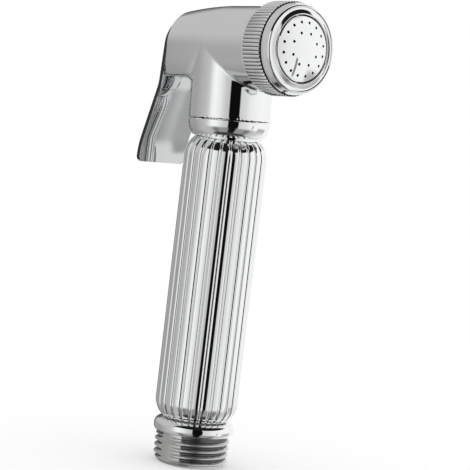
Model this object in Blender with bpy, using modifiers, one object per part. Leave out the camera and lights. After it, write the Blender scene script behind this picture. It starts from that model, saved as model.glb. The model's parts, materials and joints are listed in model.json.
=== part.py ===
"""Handheld bidet shower with a fluted handle, a squeeze lever and a knurled nozzle nut.

Sizes are in millimetres and become metres where a mesh is made. The handle stands on its
inlet end along +Z, the nozzle looks towards -Y and the lever lies on the +Y side.
"""
import math

import bmesh
import bpy
from mathutils import Matrix, Vector

MM = 0.001
GAP = 0.3

# Inlet connector: a half inch pipe thread with two flats and a round collar
THREAD_RADIUS = 10.4775
THREAD_TOP = 8.8
END_FACE_RADIUS = 8.85
END_CHAMFER = 1.5
INLET_BORE = 6.5
FLAT_HALF_WIDTH = 9.5
FLAT_GAP_TO_COLLAR = 0.3
COLLAR_BELOW_SLEEVE = 0.3
COLLAR_OVER_THREAD = 0.15
COLLAR_NECK_DEPTH = 2.0
COLLAR_HEIGHT = 3.7
COLLAR_BULGE_SHARE = 0.45

# Handle sleeve: lobes with a narrow flat crest that meet in sharp grooves
SLEEVE_LENGTH = 79.2
SLEEVE_WALL = 3.2
SLEEVE_CLEARANCE = 0.5
LOBE_COUNT = 26
LOBE_POINTS = 4
LOBE_CREST_HALF_WIDTH = 0.42
LOBE_DEPTH = 0.5
LOBE_ROUNDNESS = 0.95
SHOULDER_DROP = 2.5
SHOULDER_HEIGHT = 5.2
SHOULDER_STEPS = 3
GROOVE_LEFT_AT_END = 0.45

# Water tube and spigots inside the handle
SPIGOT_WALL = 0.7
CONNECTOR_SPIGOT_LENGTH = 9.0
HEAD_SPIGOT_LENGTH = 8.0
TUBE_RADIUS = 5.7
TUBE_WALL = 1.2
TUBE_SEAT_DEPTH = 6.0
WASHER_THICKNESS = 0.4
WASHER_WIDTH = 0.45
ORING_WIRE = 0.45

# Head: a neck tube and a barrel across it, pitched up against the handle
HEAD_PITCH = math.radians(3.5)
NECK_BELOW_SLEEVE = 0.14
NECK_RING_HEIGHT = 4.95
NECK_RING_FOOT_DEPTH = 1.95
NECK_RING_ROUND = 4.0
NECK_RING_SKIRT = 2.0
BARREL_HEIGHT = 25.5
BARREL_OVER_NECK = 0.04
NECK_TOP_SINK = 0.3
BARREL_FRONT = 16.4
BARREL_REAR = 18.2
REAR_TOP_DROP = 1.55
REAR_SIDE_DROP = 1.8
REAR_FLOOR_DROP = 2.06
CHEEK_START = 1.0
CHEEK_END = 10.0
CHEEK_SQUARENESS = 7.0
ROUND_POWER = 2.0
TAPER_POWER = 1.7
REAR_EDGE_ROUND = 0.5
UNDER_FILLET = 2.0
FILLET_SINK = 0.05

# Valve inside the barrel, along the nozzle direction from the neck axis
CHAMBER_WALL_STEP = 0.8
CHAMBER_REAR = 9.0
VALVE_BORE = 7.0
SEAT_START = 3.7
SEAT_LENGTH = 3.2
SEAT_ORIFICE = 3.6
SEAT_LIP = 0.4
STEM_RADIUS = 1.6
GLAND_RADIUS = 4.3
GLAND_HEX_APOTHEM = 4.3
GLAND_HEAD_DEPTH = 2.7
GLAND_HEAD = 2.1
WASHER_FACE_RADIUS = 5.0
WASHER_FACE_THICKNESS = 1.5
POPPET_RADIUS = 5.3
POPPET_THICKNESS = 1.5
POPPET_NUT_APOTHEM = 2.6
POPPET_NUT_THICKNESS = 1.8
SPRING_RADIUS = 3.7
SPRING_WIRE = 0.35
SPRING_LENGTH = 6.0
SPRING_TURNS = 4.5
RETAINER_THICKNESS = 1.5
RETAINER_HOLE = 2.6
RETAINER_SIDE_HOLE = 0.8
RETAINER_SIDE_CIRCLE = 5.3
RETAINER_SIDE_COUNT = 6
STEM_PAST_NUT = 0.6
STEM_END_ROUND = 0.55

# Nozzle: knurled ring nut, gasket and domed spray plate
SCREW_SPIGOT_STEP = 0.9
SCREW_SPIGOT_LENGTH = 6.2
NUT_LENGTH = 10.8
NUT_OVER_BARREL = 1.0
NUT_FRONT_STEP = 0.5
NUT_FRONT_TAPER = 2.6
NUT_RIM_ROUND = 0.85
NUT_RIM_WIDTH = 2.75
NUT_LIP_ROUND = 0.35
KNURL_OVER_BAND = 0.45
KNURL_DEPTH = 0.3
KNURL_LENGTH = 7.0
KNURL_COUNT = 76
KNURL_START = 0.4
KNURL_BEVEL = 0.3
GROOVE_WIDTH = 0.4
GROOVE_DEPTH = 0.45
GASKET_THICKNESS = 1.0
PLATE_FLANGE_THICKNESS = 1.1
PLATE_WALL = 0.9
PLATE_DOME_RADIUS = 27.7
PLATE_RIM_DROP = 0.1
SPRAY_HOLE_RADIUS = 0.33
OUTER_HOLE_COUNT = 16
OUTER_HOLE_INSET = 1.64
INNER_HOLE_COUNT = 8
INNER_HOLE_SHARE = 0.62

# Lever: a bent plate with two ears on a cross pin
LEVER_HALF_WIDTH = 8.4
LEVER_THICKNESS = 1.3
LEVER_CORNER_ROUND = 1.5
LEVER_GAP_AT_PIN = 0.3
LEVER_UPPER_TILT = math.radians(6.4)
LEVER_LOWER_TILT = math.radians(21.8)
LEVER_TIP_TILT = math.radians(4.5)
LEVER_UPPER_LENGTH = 18.4
LEVER_UPPER_BEND = 12.0
LEVER_LOWER_LENGTH = 14.6
LEVER_TIP_BEND = 20.0
LEVER_TIP_LENGTH = 1.3
LEVER_EDGE_ROUND = 0.35
PIN_RADIUS = 0.8
PIN_ABOVE_BARREL_AXIS = 6.4
PIN_INSET = 2.4
PIN_BLIND_END = 5.2
EAR_RADIUS = 1.5
EAR_INNER = 1.7
EAR_THICKNESS = 1.2
POCKET_SIDE_GAP = 0.35

# Sizes that follow from the ones above
SPIGOT_RADIUS = TUBE_RADIUS + 2 * ORING_WIRE + 2 * GAP + SPIGOT_WALL
SLEEVE_BORE = SPIGOT_RADIUS + SLEEVE_CLEARANCE
SLEEVE_RADIUS = SLEEVE_BORE + SLEEVE_WALL
WASHER_RADIUS = SPIGOT_RADIUS + GAP + WASHER_WIDTH
WASHER_RECESS_RADIUS = WASHER_RADIUS + GAP
WASHER_RECESS_DEPTH = WASHER_THICKNESS + GAP
COLLAR_RADIUS = SLEEVE_RADIUS - COLLAR_BELOW_SLEEVE
COLLAR_FOOT_RADIUS = THREAD_RADIUS + COLLAR_OVER_THREAD
COLLAR_NECK_RADIUS = COLLAR_RADIUS - COLLAR_NECK_DEPTH
COLLAR_TOP = THREAD_TOP + COLLAR_HEIGHT
SLEEVE_BOTTOM = COLLAR_TOP + GAP
SLEEVE_TOP = SLEEVE_BOTTOM + SLEEVE_LENGTH
WAIST = SLEEVE_TOP
NECK_RING_CUT = WAIST + GAP
TUBE_BOTTOM = COLLAR_TOP + CONNECTOR_SPIGOT_LENGTH - TUBE_SEAT_DEPTH
HEAD_SPIGOT_BOTTOM = WAIST - HEAD_SPIGOT_LENGTH
TUBE_TOP = HEAD_SPIGOT_BOTTOM + TUBE_SEAT_DEPTH
WATERWAY = TUBE_RADIUS - TUBE_WALL
NECK_RADIUS = SLEEVE_RADIUS - NECK_BELOW_SLEEVE
NECK_RING_FOOT_RADIUS = NECK_RADIUS - NECK_RING_FOOT_DEPTH
BARREL_RADIUS = NECK_RADIUS + BARREL_OVER_NECK
REAR_TOP_RADIUS = BARREL_RADIUS - REAR_TOP_DROP
REAR_HALF_WIDTH = BARREL_RADIUS - REAR_SIDE_DROP
REAR_FLOOR = BARREL_RADIUS - REAR_FLOOR_DROP
CHAMBER_RADIUS = VALVE_BORE - CHAMBER_WALL_STEP
SCREW_SPIGOT_RADIUS = BARREL_RADIUS - SCREW_SPIGOT_STEP
NUT_BACK = BARREL_FRONT + GAP
NUT_FRONT = NUT_BACK + NUT_LENGTH
SPIGOT_END = BARREL_FRONT + SCREW_SPIGOT_LENGTH
GASKET_BACK = SPIGOT_END + GAP
PLATE_BACK = GASKET_BACK + GASKET_THICKNESS + GAP
PLATE_RIM = PLATE_BACK + PLATE_FLANGE_THICKNESS
PLATE_FLANGE_RADIUS = SCREW_SPIGOT_RADIUS - GAP / 3
NUT_BAND_RADIUS = BARREL_RADIUS + NUT_OVER_BARREL
NUT_FRONT_RADIUS = NUT_BAND_RADIUS - NUT_FRONT_STEP
NUT_LIP_RADIUS = NUT_FRONT_RADIUS - NUT_RIM_WIDTH
NUT_LIP_BACK = PLATE_RIM + GAP
KNURL_RADIUS = NUT_BAND_RADIUS + KNURL_OVER_BAND
PLATE_WALL_RADIUS = NUT_LIP_RADIUS - GAP
PLATE_RIM_HEIGHT = NUT_FRONT - PLATE_RIM_DROP
PLATE_HALF_ANGLE = math.asin(PLATE_WALL_RADIUS / PLATE_DOME_RADIUS)
PLATE_DOME_CENTRE = PLATE_RIM_HEIGHT - PLATE_DOME_RADIUS * math.cos(PLATE_HALF_ANGLE)
OUTER_HOLE_CIRCLE = PLATE_WALL_RADIUS - OUTER_HOLE_INSET
INNER_HOLE_CIRCLE = OUTER_HOLE_CIRCLE * INNER_HOLE_SHARE
LEVER_TOP = BARREL_HEIGHT + LEVER_HALF_WIDTH
HEX_CORNER = 1 / math.cos(math.pi / 6)


# Helpers

def smooth_blend(value, start, end):
    """Run from 0 at start to 1 at end with level ends."""
    share = min(max((value - start) / (end - start), 0.0), 1.0)
    return share * share * (3 - 2 * share)


def mix(first, second, share):
    return first + (second - first) * share


def arc(centre_r, centre_z, radius, start_deg, end_deg, steps):
    """Points of an arc in a turned outline, as (radius, height) pairs."""
    points = []
    for step in range(steps + 1):
        angle = math.radians(mix(start_deg, end_deg, step / steps))
        points.append((centre_r + radius * math.cos(angle), centre_z + radius * math.sin(angle)))
    return points


def make_material(name, colour, roughness, metallic):
    material = bpy.data.materials.new(name)
    material.use_nodes = True
    shader = material.node_tree.nodes["Principled BSDF"]
    shader.inputs["Base Color"].default_value = (*colour, 1.0)
    shader.inputs["Roughness"].default_value = roughness
    shader.inputs["Metallic"].default_value = metallic
    return material


def make_empty(name, parent, location, rotation=(0.0, 0.0, 0.0)):
    empty = bpy.data.objects.new(name, None)
    bpy.context.scene.collection.objects.link(empty)
    empty.parent = parent
    empty.location = Vector(location) * MM
    empty.rotation_euler = rotation
    return empty


def add_object(name, mesh, parent, material, cutter=False):
    """Link a mesh as a part, or as a hidden tool body."""
    obj = bpy.data.objects.new(name, mesh)
    obj.parent = parent
    if cutter:
        cutters.objects.link(obj)
        obj.hide_render = True
        obj.display_type = 'WIRE'
    else:
        parts.objects.link(obj)
        mesh.materials.append(material)
        mesh.shade_smooth()
    return obj


def mesh_from(bm, name):
    mesh = bpy.data.meshes.new(name)
    bm.to_mesh(mesh)
    bm.free()
    return mesh


def turned(name, outline, parent, material=None, steps=20, cutter=False):
    """Turn an outline about the parent's Z axis. It runs down its outer side."""
    bm = bmesh.new()
    verts = [bm.verts.new((radius * MM, 0.0, height * MM)) for radius, height in outline]
    for first, second in zip(verts, verts[1:]):
        bm.edges.new((first, second))
    hollow = outline[0][0] > 0
    if hollow:
        bm.edges.new((verts[-1], verts[0]))
    obj = add_object(name, mesh_from(bm, name), parent, material, cutter)
    screw = obj.modifiers.new("Turn", 'SCREW')
    screw.steps = steps
    screw.render_steps = steps
    screw.use_merge_vertices = True
    screw.merge_threshold = 0.000001
    if not hollow:
        weld = obj.modifiers.new("Close the poles", 'WELD')
        weld.merge_threshold = 0.000001
    return obj


def ring(name, inner, outer, bottom, top, parent, material, steps=20):
    outline = [(inner, top), (outer, top), (outer, bottom), (inner, bottom)]
    return turned(name, outline, parent, material, steps)


def turned_rod(name, radius, bottom, top, parent, steps):
    """Plain rod that other bodies are joined to. It has no edge in the plane of symmetry."""
    return turned(name, [(0, top), (radius, top), (radius, bottom), (0, bottom)], parent, steps=steps, cutter=True)


def cylinder(name, radius, bottom, top, parent, material=None, sides=24, cutter=False, turn=0.0):
    bm = bmesh.new()
    place = Matrix.Translation((0, 0, (bottom + top) / 2 * MM)) @ Matrix.Rotation(turn, 4, 'Z')
    bmesh.ops.create_cone(bm, cap_ends=True, segments=sides, radius1=radius * MM, radius2=radius * MM,
                          depth=(top - bottom) * MM, matrix=place)
    return add_object(name, mesh_from(bm, name), parent, material, cutter)


def box(name, low, high, parent, cutter=True):
    bm = bmesh.new()
    low = Vector(low) * MM
    high = Vector(high) * MM
    size = high - low
    place = Matrix.Translation((low + high) / 2) @ Matrix.Diagonal((*size, 1.0))
    bmesh.ops.create_cube(bm, size=1.0, matrix=place)
    return add_object(name, mesh_from(bm, name), parent, None, cutter)


def loft(name, sections, parent, material=None, closed=False, cutter=False):
    """Skin rings of points. An open loft gets two end faces, a closed one joins its ends."""
    bm = bmesh.new()
    rings = [[bm.verts.new(Vector(point) * MM) for point in section] for section in sections]
    count = len(rings[0])
    pairs = list(zip(rings, rings[1:]))
    if closed:
        pairs.append((rings[-1], rings[0]))
    for lower, upper in pairs:
        for index in range(count):
            after = (index + 1) % count
            bm.faces.new((lower[index], lower[after], upper[after], upper[index]))
    if not closed:
        bm.faces.new(rings[0])
        bm.faces.new(rings[-1])
    bmesh.ops.recalc_face_normals(bm, faces=bm.faces)
    return add_object(name, mesh_from(bm, name), parent, material, cutter)


def combine(obj, tool, operation):
    boolean = obj.modifiers.new(operation.title() + " " + tool.name, 'BOOLEAN')
    boolean.operation = operation
    boolean.object = tool


def o_ring(name, major, height, parent):
    """A rubber ring of the common wire size, at a height along its parent's Z axis."""
    bpy.ops.mesh.primitive_torus_add(major_segments=16, minor_segments=6,
                                     major_radius=major * MM, minor_radius=ORING_WIRE * MM)
    made = bpy.context.object
    mesh = made.data
    bpy.data.objects.remove(made)
    mesh.name = name
    obj = add_object(name, mesh, parent, rubber)
    obj.location = (0, 0, height * MM)
    return obj


# Handle

def make_inlet_connector():
    """Thread blank, collar and spigot in one turned body with a stepped bore."""
    tube_seat = TUBE_RADIUS + GAP
    groove = TUBE_RADIUS + 2 * ORING_WIRE + 2 * GAP
    groove_middle = TUBE_BOTTOM + TUBE_SEAT_DEPTH / 2
    groove_low = groove_middle - ORING_WIRE - GAP
    groove_high = groove_middle + ORING_WIRE + GAP
    spigot_top = COLLAR_TOP + CONNECTOR_SPIGOT_LENGTH
    bulge_height = THREAD_TOP + COLLAR_BULGE_SHARE * COLLAR_HEIGHT
    outline = [
        (tube_seat, spigot_top),
        (SPIGOT_RADIUS, spigot_top),
        (SPIGOT_RADIUS, COLLAR_TOP - WASHER_RECESS_DEPTH),
        (WASHER_RECESS_RADIUS, COLLAR_TOP - WASHER_RECESS_DEPTH),
        (WASHER_RECESS_RADIUS, COLLAR_TOP),
        (COLLAR_NECK_RADIUS, COLLAR_TOP),
        (mix(COLLAR_NECK_RADIUS, COLLAR_RADIUS, 0.5), mix(COLLAR_TOP, bulge_height, 0.15)),
        (mix(COLLAR_NECK_RADIUS, COLLAR_RADIUS, 0.87), mix(COLLAR_TOP, bulge_height, 0.5)),
        (COLLAR_RADIUS, bulge_height),
        (mix(COLLAR_FOOT_RADIUS, COLLAR_RADIUS, 0.7), mix(THREAD_TOP, bulge_height, 0.4)),
        (COLLAR_FOOT_RADIUS, THREAD_TOP),
        (THREAD_RADIUS, THREAD_TOP),
        (THREAD_RADIUS, END_CHAMFER),
        (END_FACE_RADIUS, 0),
        (INLET_BORE, 0),
        (INLET_BORE, TUBE_BOTTOM - GAP),
        (tube_seat, TUBE_BOTTOM - GAP),
        (tube_seat, groove_low),
        (groove, groove_low),
        (groove, groove_high),
        (tube_seat, groove_high),
    ]
    connector = turned("inlet_connector", outline, handset, chrome, steps=34)
    reach = 2 * THREAD_RADIUS
    flat_top = THREAD_TOP - FLAT_GAP_TO_COLLAR
    for side in (-1, 1):
        near, far = sorted((side * FLAT_HALF_WIDTH, side * reach))
        flat = box("flat_cut", (near, -reach, -reach), (far, reach, flat_top), handset)
        combine(connector, flat, 'DIFFERENCE')
    o_ring("tube_oring_lower", TUBE_RADIUS + GAP + ORING_WIRE, groove_middle, handset)


def lobe_drop(angle):
    """How far the lobed outline lies under its crest circle, with a crest midway in each pitch."""
    pitch = 2 * math.pi / LOBE_COUNT
    offset = abs(angle % pitch - pitch / 2)
    crest = LOBE_CREST_HALF_WIDTH / SLEEVE_RADIUS
    across = max(offset - crest, 0.0) / (pitch / 2 - crest)
    fall = 1 - math.sqrt(1 - (LOBE_ROUNDNESS * across) ** 2)
    return LOBE_DEPTH * fall / (1 - math.sqrt(1 - LOBE_ROUNDNESS ** 2))


def sleeve_section(crest_radius, height, depth_share):
    count = LOBE_COUNT * LOBE_POINTS
    points = []
    for index in range(count):
        angle = 2 * math.pi * index / count
        radius = crest_radius - depth_share * lobe_drop(angle)
        points.append((radius * math.cos(angle), radius * math.sin(angle), height))
    return points


def make_handle_sleeve():
    """Fluted tube whose lobes run out over a rounded shoulder at each end."""
    whole_turn = 2 * math.atan(SHOULDER_DROP / SHOULDER_HEIGHT)
    shoulder_radius = SHOULDER_HEIGHT / math.sin(whole_turn)
    shoulder = []
    for step in range(SHOULDER_STEPS + 1):
        turn = whole_turn * (1 - step / SHOULDER_STEPS)
        radius = SLEEVE_RADIUS - shoulder_radius * (1 - math.cos(turn))
        rise = SHOULDER_HEIGHT - shoulder_radius * math.sin(turn)
        depth = mix(GROOVE_LEFT_AT_END, 1.0, step / SHOULDER_STEPS)
        shoulder.append((radius, rise, depth))
    outer = [sleeve_section(radius, SLEEVE_BOTTOM + rise, depth) for radius, rise, depth in shoulder]
    outer += [sleeve_section(radius, SLEEVE_TOP - rise, depth)
              for radius, rise, depth in reversed(shoulder)]
    inner = [sleeve_section(SLEEVE_BORE, height, 0.0) for height in (SLEEVE_TOP, SLEEVE_BOTTOM)]
    loft("handle_sleeve", outer + inner, handset, chrome, closed=True)


def make_handle_core():
    """Washers at both ends of the sleeve and the water tube through it."""
    washer_bore = SPIGOT_RADIUS + GAP
    for name, bottom in (("collar_washer", COLLAR_TOP - WASHER_THICKNESS), ("neck_washer", SLEEVE_TOP + GAP)):
        ring(name, washer_bore, WASHER_RADIUS, bottom, bottom + WASHER_THICKNESS, handset, nylon)
    ring("water_tube", WATERWAY, TUBE_RADIUS, TUBE_BOTTOM, TUBE_TOP, handset, nylon)


# Head casting

def barrel_section(back):
    """Outline of the casting at a distance behind the neck axis, round in front and square below
    at the rear, as (side, height above the barrel axis) pairs."""
    taper = max(back, 0.0) / BARREL_REAR
    taper = taper ** TAPER_POWER
    top = mix(BARREL_RADIUS, REAR_TOP_RADIUS, taper)
    width = mix(BARREL_RADIUS, REAR_HALF_WIDTH, taper)
    squared = smooth_blend(back, CHEEK_START, CHEEK_END)
    floor = mix(BARREL_RADIUS, REAR_FLOOR, squared)
    power = ROUND_POWER / mix(ROUND_POWER, CHEEK_SQUARENESS, squared)
    count = 42
    points = []
    for index in range(count):
        angle = 2 * math.pi * index / count
        side, up = math.cos(angle), math.sin(angle)
        if up >= 0:
            points.append((width * side, top * up))
        else:
            points.append((math.copysign(width * abs(side) ** power, side), -floor * abs(up) ** power))
    return points


def make_head_body():
    """One casting: neck, barrel, valve bores, lever pocket and the spigots at both ends."""
    stations = [-BARREL_FRONT, -4.0, 0.0, 2.5, 4.5, 6.5, 8.5, 11.0, 14.5, BARREL_REAR - REAR_EDGE_ROUND]
    sections = [[(x, up, -back) for x, up in barrel_section(back)] for back in stations]
    edge = 1 - REAR_EDGE_ROUND / REAR_TOP_RADIUS
    sections.append([(x * edge, up * edge, -BARREL_REAR) for x, up in barrel_section(BARREL_REAR)])
    body = loft("head_body", sections, barrel_frame, chrome)

    neck_foot = NECK_RING_HEIGHT + GAP
    neck_top = BARREL_HEIGHT - NECK_TOP_SINK
    neck_outline = [(0, neck_top), (NECK_RADIUS, neck_top), (NECK_RADIUS, neck_foot), (0, neck_foot)]
    combine(body, turned("neck_solid", neck_outline, head_frame, steps=50, cutter=True), 'UNION')

    ceiling = BARREL_HEIGHT - REAR_FLOOR
    corner = NECK_RADIUS + UNDER_FILLET - FILLET_SINK
    inside_neck = NECK_RADIUS - UNDER_FILLET / 2
    fillet_outline = [(inside_neck, ceiling + GAP), (corner, ceiling + GAP)]
    fillet_outline += arc(corner, ceiling - UNDER_FILLET, UNDER_FILLET, 90, 180, 4)
    fillet_outline += [(inside_neck, ceiling - UNDER_FILLET)]
    fillet = turned("under_fillet", fillet_outline, head_frame, steps=46, cutter=True)
    fillet_side = REAR_HALF_WIDTH
    keep = box("fillet_keep", (-fillet_side, 0, 0), (fillet_side, BARREL_REAR, BARREL_HEIGHT), head_frame)
    combine(fillet, keep, 'INTERSECT')
    combine(body, fillet, 'UNION')

    combine(body, turned_rod("handle_spigot", SPIGOT_RADIUS, HEAD_SPIGOT_BOTTOM, WAIST + neck_foot + 2 * GAP,
                             handset, 30), 'UNION')
    combine(body, turned_rod("screw_spigot", SCREW_SPIGOT_RADIUS, BARREL_FRONT - 1, SPIGOT_END, barrel_frame,
                             34), 'UNION')

    over = 0.2
    head_seat = GLAND_RADIUS * HEX_CORNER + 2 * GAP
    gland_bore = GLAND_RADIUS + GAP
    gland_floor = -BARREL_REAR + GLAND_HEAD_DEPTH
    bores = turned("valve_bores", [
        (0, SPIGOT_END + over),
        (VALVE_BORE, SPIGOT_END + over),
        (VALVE_BORE, SEAT_START),
        (CHAMBER_RADIUS, SEAT_START),
        (CHAMBER_RADIUS, -CHAMBER_REAR),
        (gland_bore, -CHAMBER_REAR),
        (gland_bore, gland_floor),
        (head_seat, gland_floor),
        (head_seat, -BARREL_REAR - over),
        (0, -BARREL_REAR - over),
    ], barrel_frame, steps=26, cutter=True)
    combine(body, bores, 'DIFFERENCE')

    tube_seat = TUBE_RADIUS + GAP
    groove = TUBE_RADIUS + 2 * ORING_WIRE + 2 * GAP
    groove_middle = HEAD_SPIGOT_BOTTOM + TUBE_SEAT_DEPTH / 2
    chamber_middle = WAIST + BARREL_HEIGHT
    waterway = turned("waterway", [
        (0, chamber_middle),
        (WATERWAY, chamber_middle),
        (WATERWAY, TUBE_TOP + GAP),
        (tube_seat, TUBE_TOP + GAP),
        (tube_seat, groove_middle + ORING_WIRE + GAP),
        (groove, groove_middle + ORING_WIRE + GAP),
        (groove, groove_middle - ORING_WIRE - GAP),
        (tube_seat, groove_middle - ORING_WIRE - GAP),
        (tube_seat, HEAD_SPIGOT_BOTTOM - over),
        (0, HEAD_SPIGOT_BOTTOM - over),
    ], handset, steps=22, cutter=True)
    combine(body, waterway, 'DIFFERENCE')
    o_ring("tube_oring_upper", TUBE_RADIUS + GAP + ORING_WIRE, groove_middle, handset)

    pocket_side = EAR_INNER + EAR_THICKNESS + POCKET_SIDE_GAP
    pocket_reach = EAR_RADIUS + GAP
    pocket = box("ear_pocket", (-pocket_side, -pocket_reach, -pocket_reach),
                 (pocket_side, PIN_INSET + over, pocket_reach), pin_frame)
    combine(body, pocket, 'DIFFERENCE')
    pin_hole = cylinder("pin_hole", PIN_RADIUS + GAP, -PIN_BLIND_END - GAP, BARREL_RADIUS, pin_axis_frame,
                        sides=16, cutter=True)
    combine(body, pin_hole, 'DIFFERENCE')


def make_neck_ring():
    """Rounded ring under the neck. Its foot is cut square to the handle, with a washer recess."""
    bore = SPIGOT_RADIUS + GAP + NECK_RING_HEIGHT * math.sin(HEAD_PITCH)
    round_drop = NECK_RADIUS - NECK_RING_FOOT_RADIUS
    whole_turn = 2 * math.atan(round_drop / NECK_RING_ROUND)
    round_radius = NECK_RING_ROUND / math.sin(whole_turn)
    round_steps = 3
    outline = [(bore, NECK_RING_HEIGHT), (NECK_RADIUS, NECK_RING_HEIGHT)]
    for step in range(round_steps + 1):
        turn = whole_turn * step / round_steps
        outline.append((NECK_RADIUS - round_radius * (1 - math.cos(turn)),
                        GAP + NECK_RING_ROUND - round_radius * math.sin(turn)))
    outline += [(NECK_RING_FOOT_RADIUS, -NECK_RING_SKIRT), (bore, -NECK_RING_SKIRT)]
    neck_ring = turned("neck_ring", outline, head_frame, chrome, steps=42)
    reach = 2 * NECK_RADIUS
    foot_cut = box("foot_cut", (-reach, -reach, NECK_RING_CUT - reach), (reach, reach, NECK_RING_CUT), handset)
    combine(neck_ring, foot_cut, 'DIFFERENCE')
    recess = cylinder("washer_recess", WASHER_RECESS_RADIUS, WAIST, NECK_RING_CUT + WASHER_RECESS_DEPTH, handset,
                      sides=46, cutter=True)
    combine(neck_ring, recess, 'DIFFERENCE')


# Valve

def hexagon_nut(name, apothem, bottom, top, bore, parent, material):
    nut = cylinder(name, apothem * HEX_CORNER, bottom, top, parent, material, sides=6,
                   turn=math.radians(30))
    combine(nut, cylinder(name + "_bore", bore, bottom - 1, top + 1, parent, sides=16, cutter=True), 'DIFFERENCE')
    return nut


def make_gland():
    """Hexagon plug that guides the stem at the rear, with a rubber ring in its bore."""
    stem_bore = STEM_RADIUS + GAP
    head_front = -BARREL_REAR + GLAND_HEAD_DEPTH - GAP
    gland = hexagon_nut("gland_nut", GLAND_HEX_APOTHEM, head_front - GLAND_HEAD, head_front, stem_bore,
                        barrel_frame, brass)
    shank_end = -CHAMBER_REAR - GAP
    groove = STEM_RADIUS + 2 * ORING_WIRE + 2 * GAP
    groove_middle = (head_front + shank_end) / 2
    shank = turned("gland_shank", [
        (stem_bore, shank_end),
        (GLAND_RADIUS, shank_end),
        (GLAND_RADIUS, head_front - 0.5),
        (stem_bore, head_front - 0.5),
        (stem_bore, groove_middle - ORING_WIRE - GAP),
        (groove, groove_middle - ORING_WIRE - GAP),
        (groove, groove_middle + ORING_WIRE + GAP),
        (stem_bore, groove_middle + ORING_WIRE + GAP),
    ], barrel_frame, steps=16, cutter=True)
    combine(gland, shank, 'UNION')
    o_ring("stem_oring", STEM_RADIUS + GAP + ORING_WIRE, groove_middle, barrel_frame)


def lever_inner_face(height):
    """How far behind the neck axis the lever's inner face lies, at a height on its upper flat."""
    pin_height = BARREL_HEIGHT + PIN_ABOVE_BARREL_AXIS
    return BARREL_REAR + LEVER_GAP_AT_PIN + (pin_height - height) * math.tan(LEVER_UPPER_TILT)


def make_valve():
    """Seat, poppet with its rubber face, nut, stem, spring and spring retainer."""
    seat_back = SEAT_START + GAP
    seat_front = seat_back + SEAT_LENGTH
    seat_outer = VALVE_BORE - GAP
    groove = seat_outer - 2 * ORING_WIRE
    groove_middle = (seat_back + seat_front) / 2
    groove_half = ORING_WIRE + GAP
    lip_width = 0.8
    turned("valve_seat", [
        (SEAT_ORIFICE, seat_front + SEAT_LIP),
        (SEAT_ORIFICE + lip_width, seat_front + SEAT_LIP),
        (SEAT_ORIFICE + lip_width, seat_front),
        (seat_outer, seat_front),
        (seat_outer, groove_middle + groove_half),
        (groove - GAP, groove_middle + groove_half),
        (groove - GAP, groove_middle - groove_half),
        (seat_outer, groove_middle - groove_half),
        (seat_outer, seat_back),
        (SEAT_ORIFICE, seat_back),
    ], barrel_frame, brass)
    o_ring("seat_oring", groove + ORING_WIRE, groove_middle, barrel_frame)

    stem_bore = STEM_RADIUS + GAP
    washer_back = seat_front + SEAT_LIP + GAP
    washer_front = washer_back + WASHER_FACE_THICKNESS
    poppet_back = washer_front + GAP
    poppet_front = poppet_back + POPPET_THICKNESS
    nut_back = poppet_front + GAP
    nut_front = nut_back + POPPET_NUT_THICKNESS
    ring("valve_washer", stem_bore, WASHER_FACE_RADIUS, washer_back, washer_front, barrel_frame, rubber)
    ring("poppet", stem_bore, POPPET_RADIUS, poppet_back, poppet_front, barrel_frame, brass)
    hexagon_nut("poppet_nut", POPPET_NUT_APOTHEM, nut_back, nut_front, stem_bore, barrel_frame, brass)

    stem_rear = GAP - lever_inner_face(BARREL_HEIGHT)
    stem_front = nut_front + STEM_PAST_NUT
    turned("valve_stem", [
        (0, stem_front),
        (STEM_RADIUS * 0.8, stem_front),
        (STEM_RADIUS, stem_front - STEM_END_ROUND),
        (STEM_RADIUS, stem_rear + STEM_END_ROUND),
        (STEM_RADIUS * 0.7, stem_rear + STEM_END_ROUND / 4),
        (0, stem_rear),
    ], barrel_frame, steel, steps=16)

    spring_back = poppet_front + GAP
    spring_front = spring_back + SPRING_LENGTH
    make_spring(spring_back + SPRING_WIRE, spring_front - SPRING_WIRE)
    retainer_back = spring_front + GAP
    retainer = ring("spring_retainer", RETAINER_HOLE, VALVE_BORE - GAP, retainer_back,
                    retainer_back + RETAINER_THICKNESS, barrel_frame, brass)
    side_holes = hole_cutter("retainer_holes", [(RETAINER_SIDE_COUNT, RETAINER_SIDE_CIRCLE)], RETAINER_SIDE_HOLE,
                             retainer_back - RETAINER_THICKNESS, retainer_back + 2 * RETAINER_THICKNESS)
    combine(retainer, side_holes, 'DIFFERENCE')


def make_spring(start, end):
    """Compression spring as one bevelled helix, centred on the barrel axis."""
    steps = int(SPRING_TURNS * 10)
    curve = bpy.data.curves.new("valve_spring", 'CURVE')
    curve.dimensions = '3D'
    curve.bevel_depth = SPRING_WIRE * MM
    curve.bevel_resolution = 1
    curve.use_fill_caps = True
    spline = curve.splines.new('POLY')
    spline.points.add(steps)
    for step, point in enumerate(spline.points):
        angle = 2 * math.pi * SPRING_TURNS * step / steps
        height = mix(start, end, step / steps)
        place = (SPRING_RADIUS * math.cos(angle), SPRING_RADIUS * math.sin(angle), height)
        point.co = (*(Vector(place) * MM), 1.0)
    curve.materials.append(steel)
    spring = bpy.data.objects.new("valve_spring", curve)
    spring.parent = barrel_frame
    parts.objects.link(spring)


# Nozzle

def hole_cutter(name, rings, radius, bottom, top):
    """One cutter with a straight cylinder for each hole of the given rings."""
    bm = bmesh.new()
    for count, circle in rings:
        for index in range(count):
            angle = 2 * math.pi * (index + 0.5) / count
            centre = Vector((circle * math.cos(angle), circle * math.sin(angle), (bottom + top) / 2)) * MM
            bmesh.ops.create_cone(bm, cap_ends=True, segments=6, radius1=radius * MM, radius2=radius * MM,
                                  depth=(top - bottom) * MM, matrix=Matrix.Translation(centre))
    return add_object(name, mesh_from(bm, name), barrel_frame, None, cutter=True)


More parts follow.
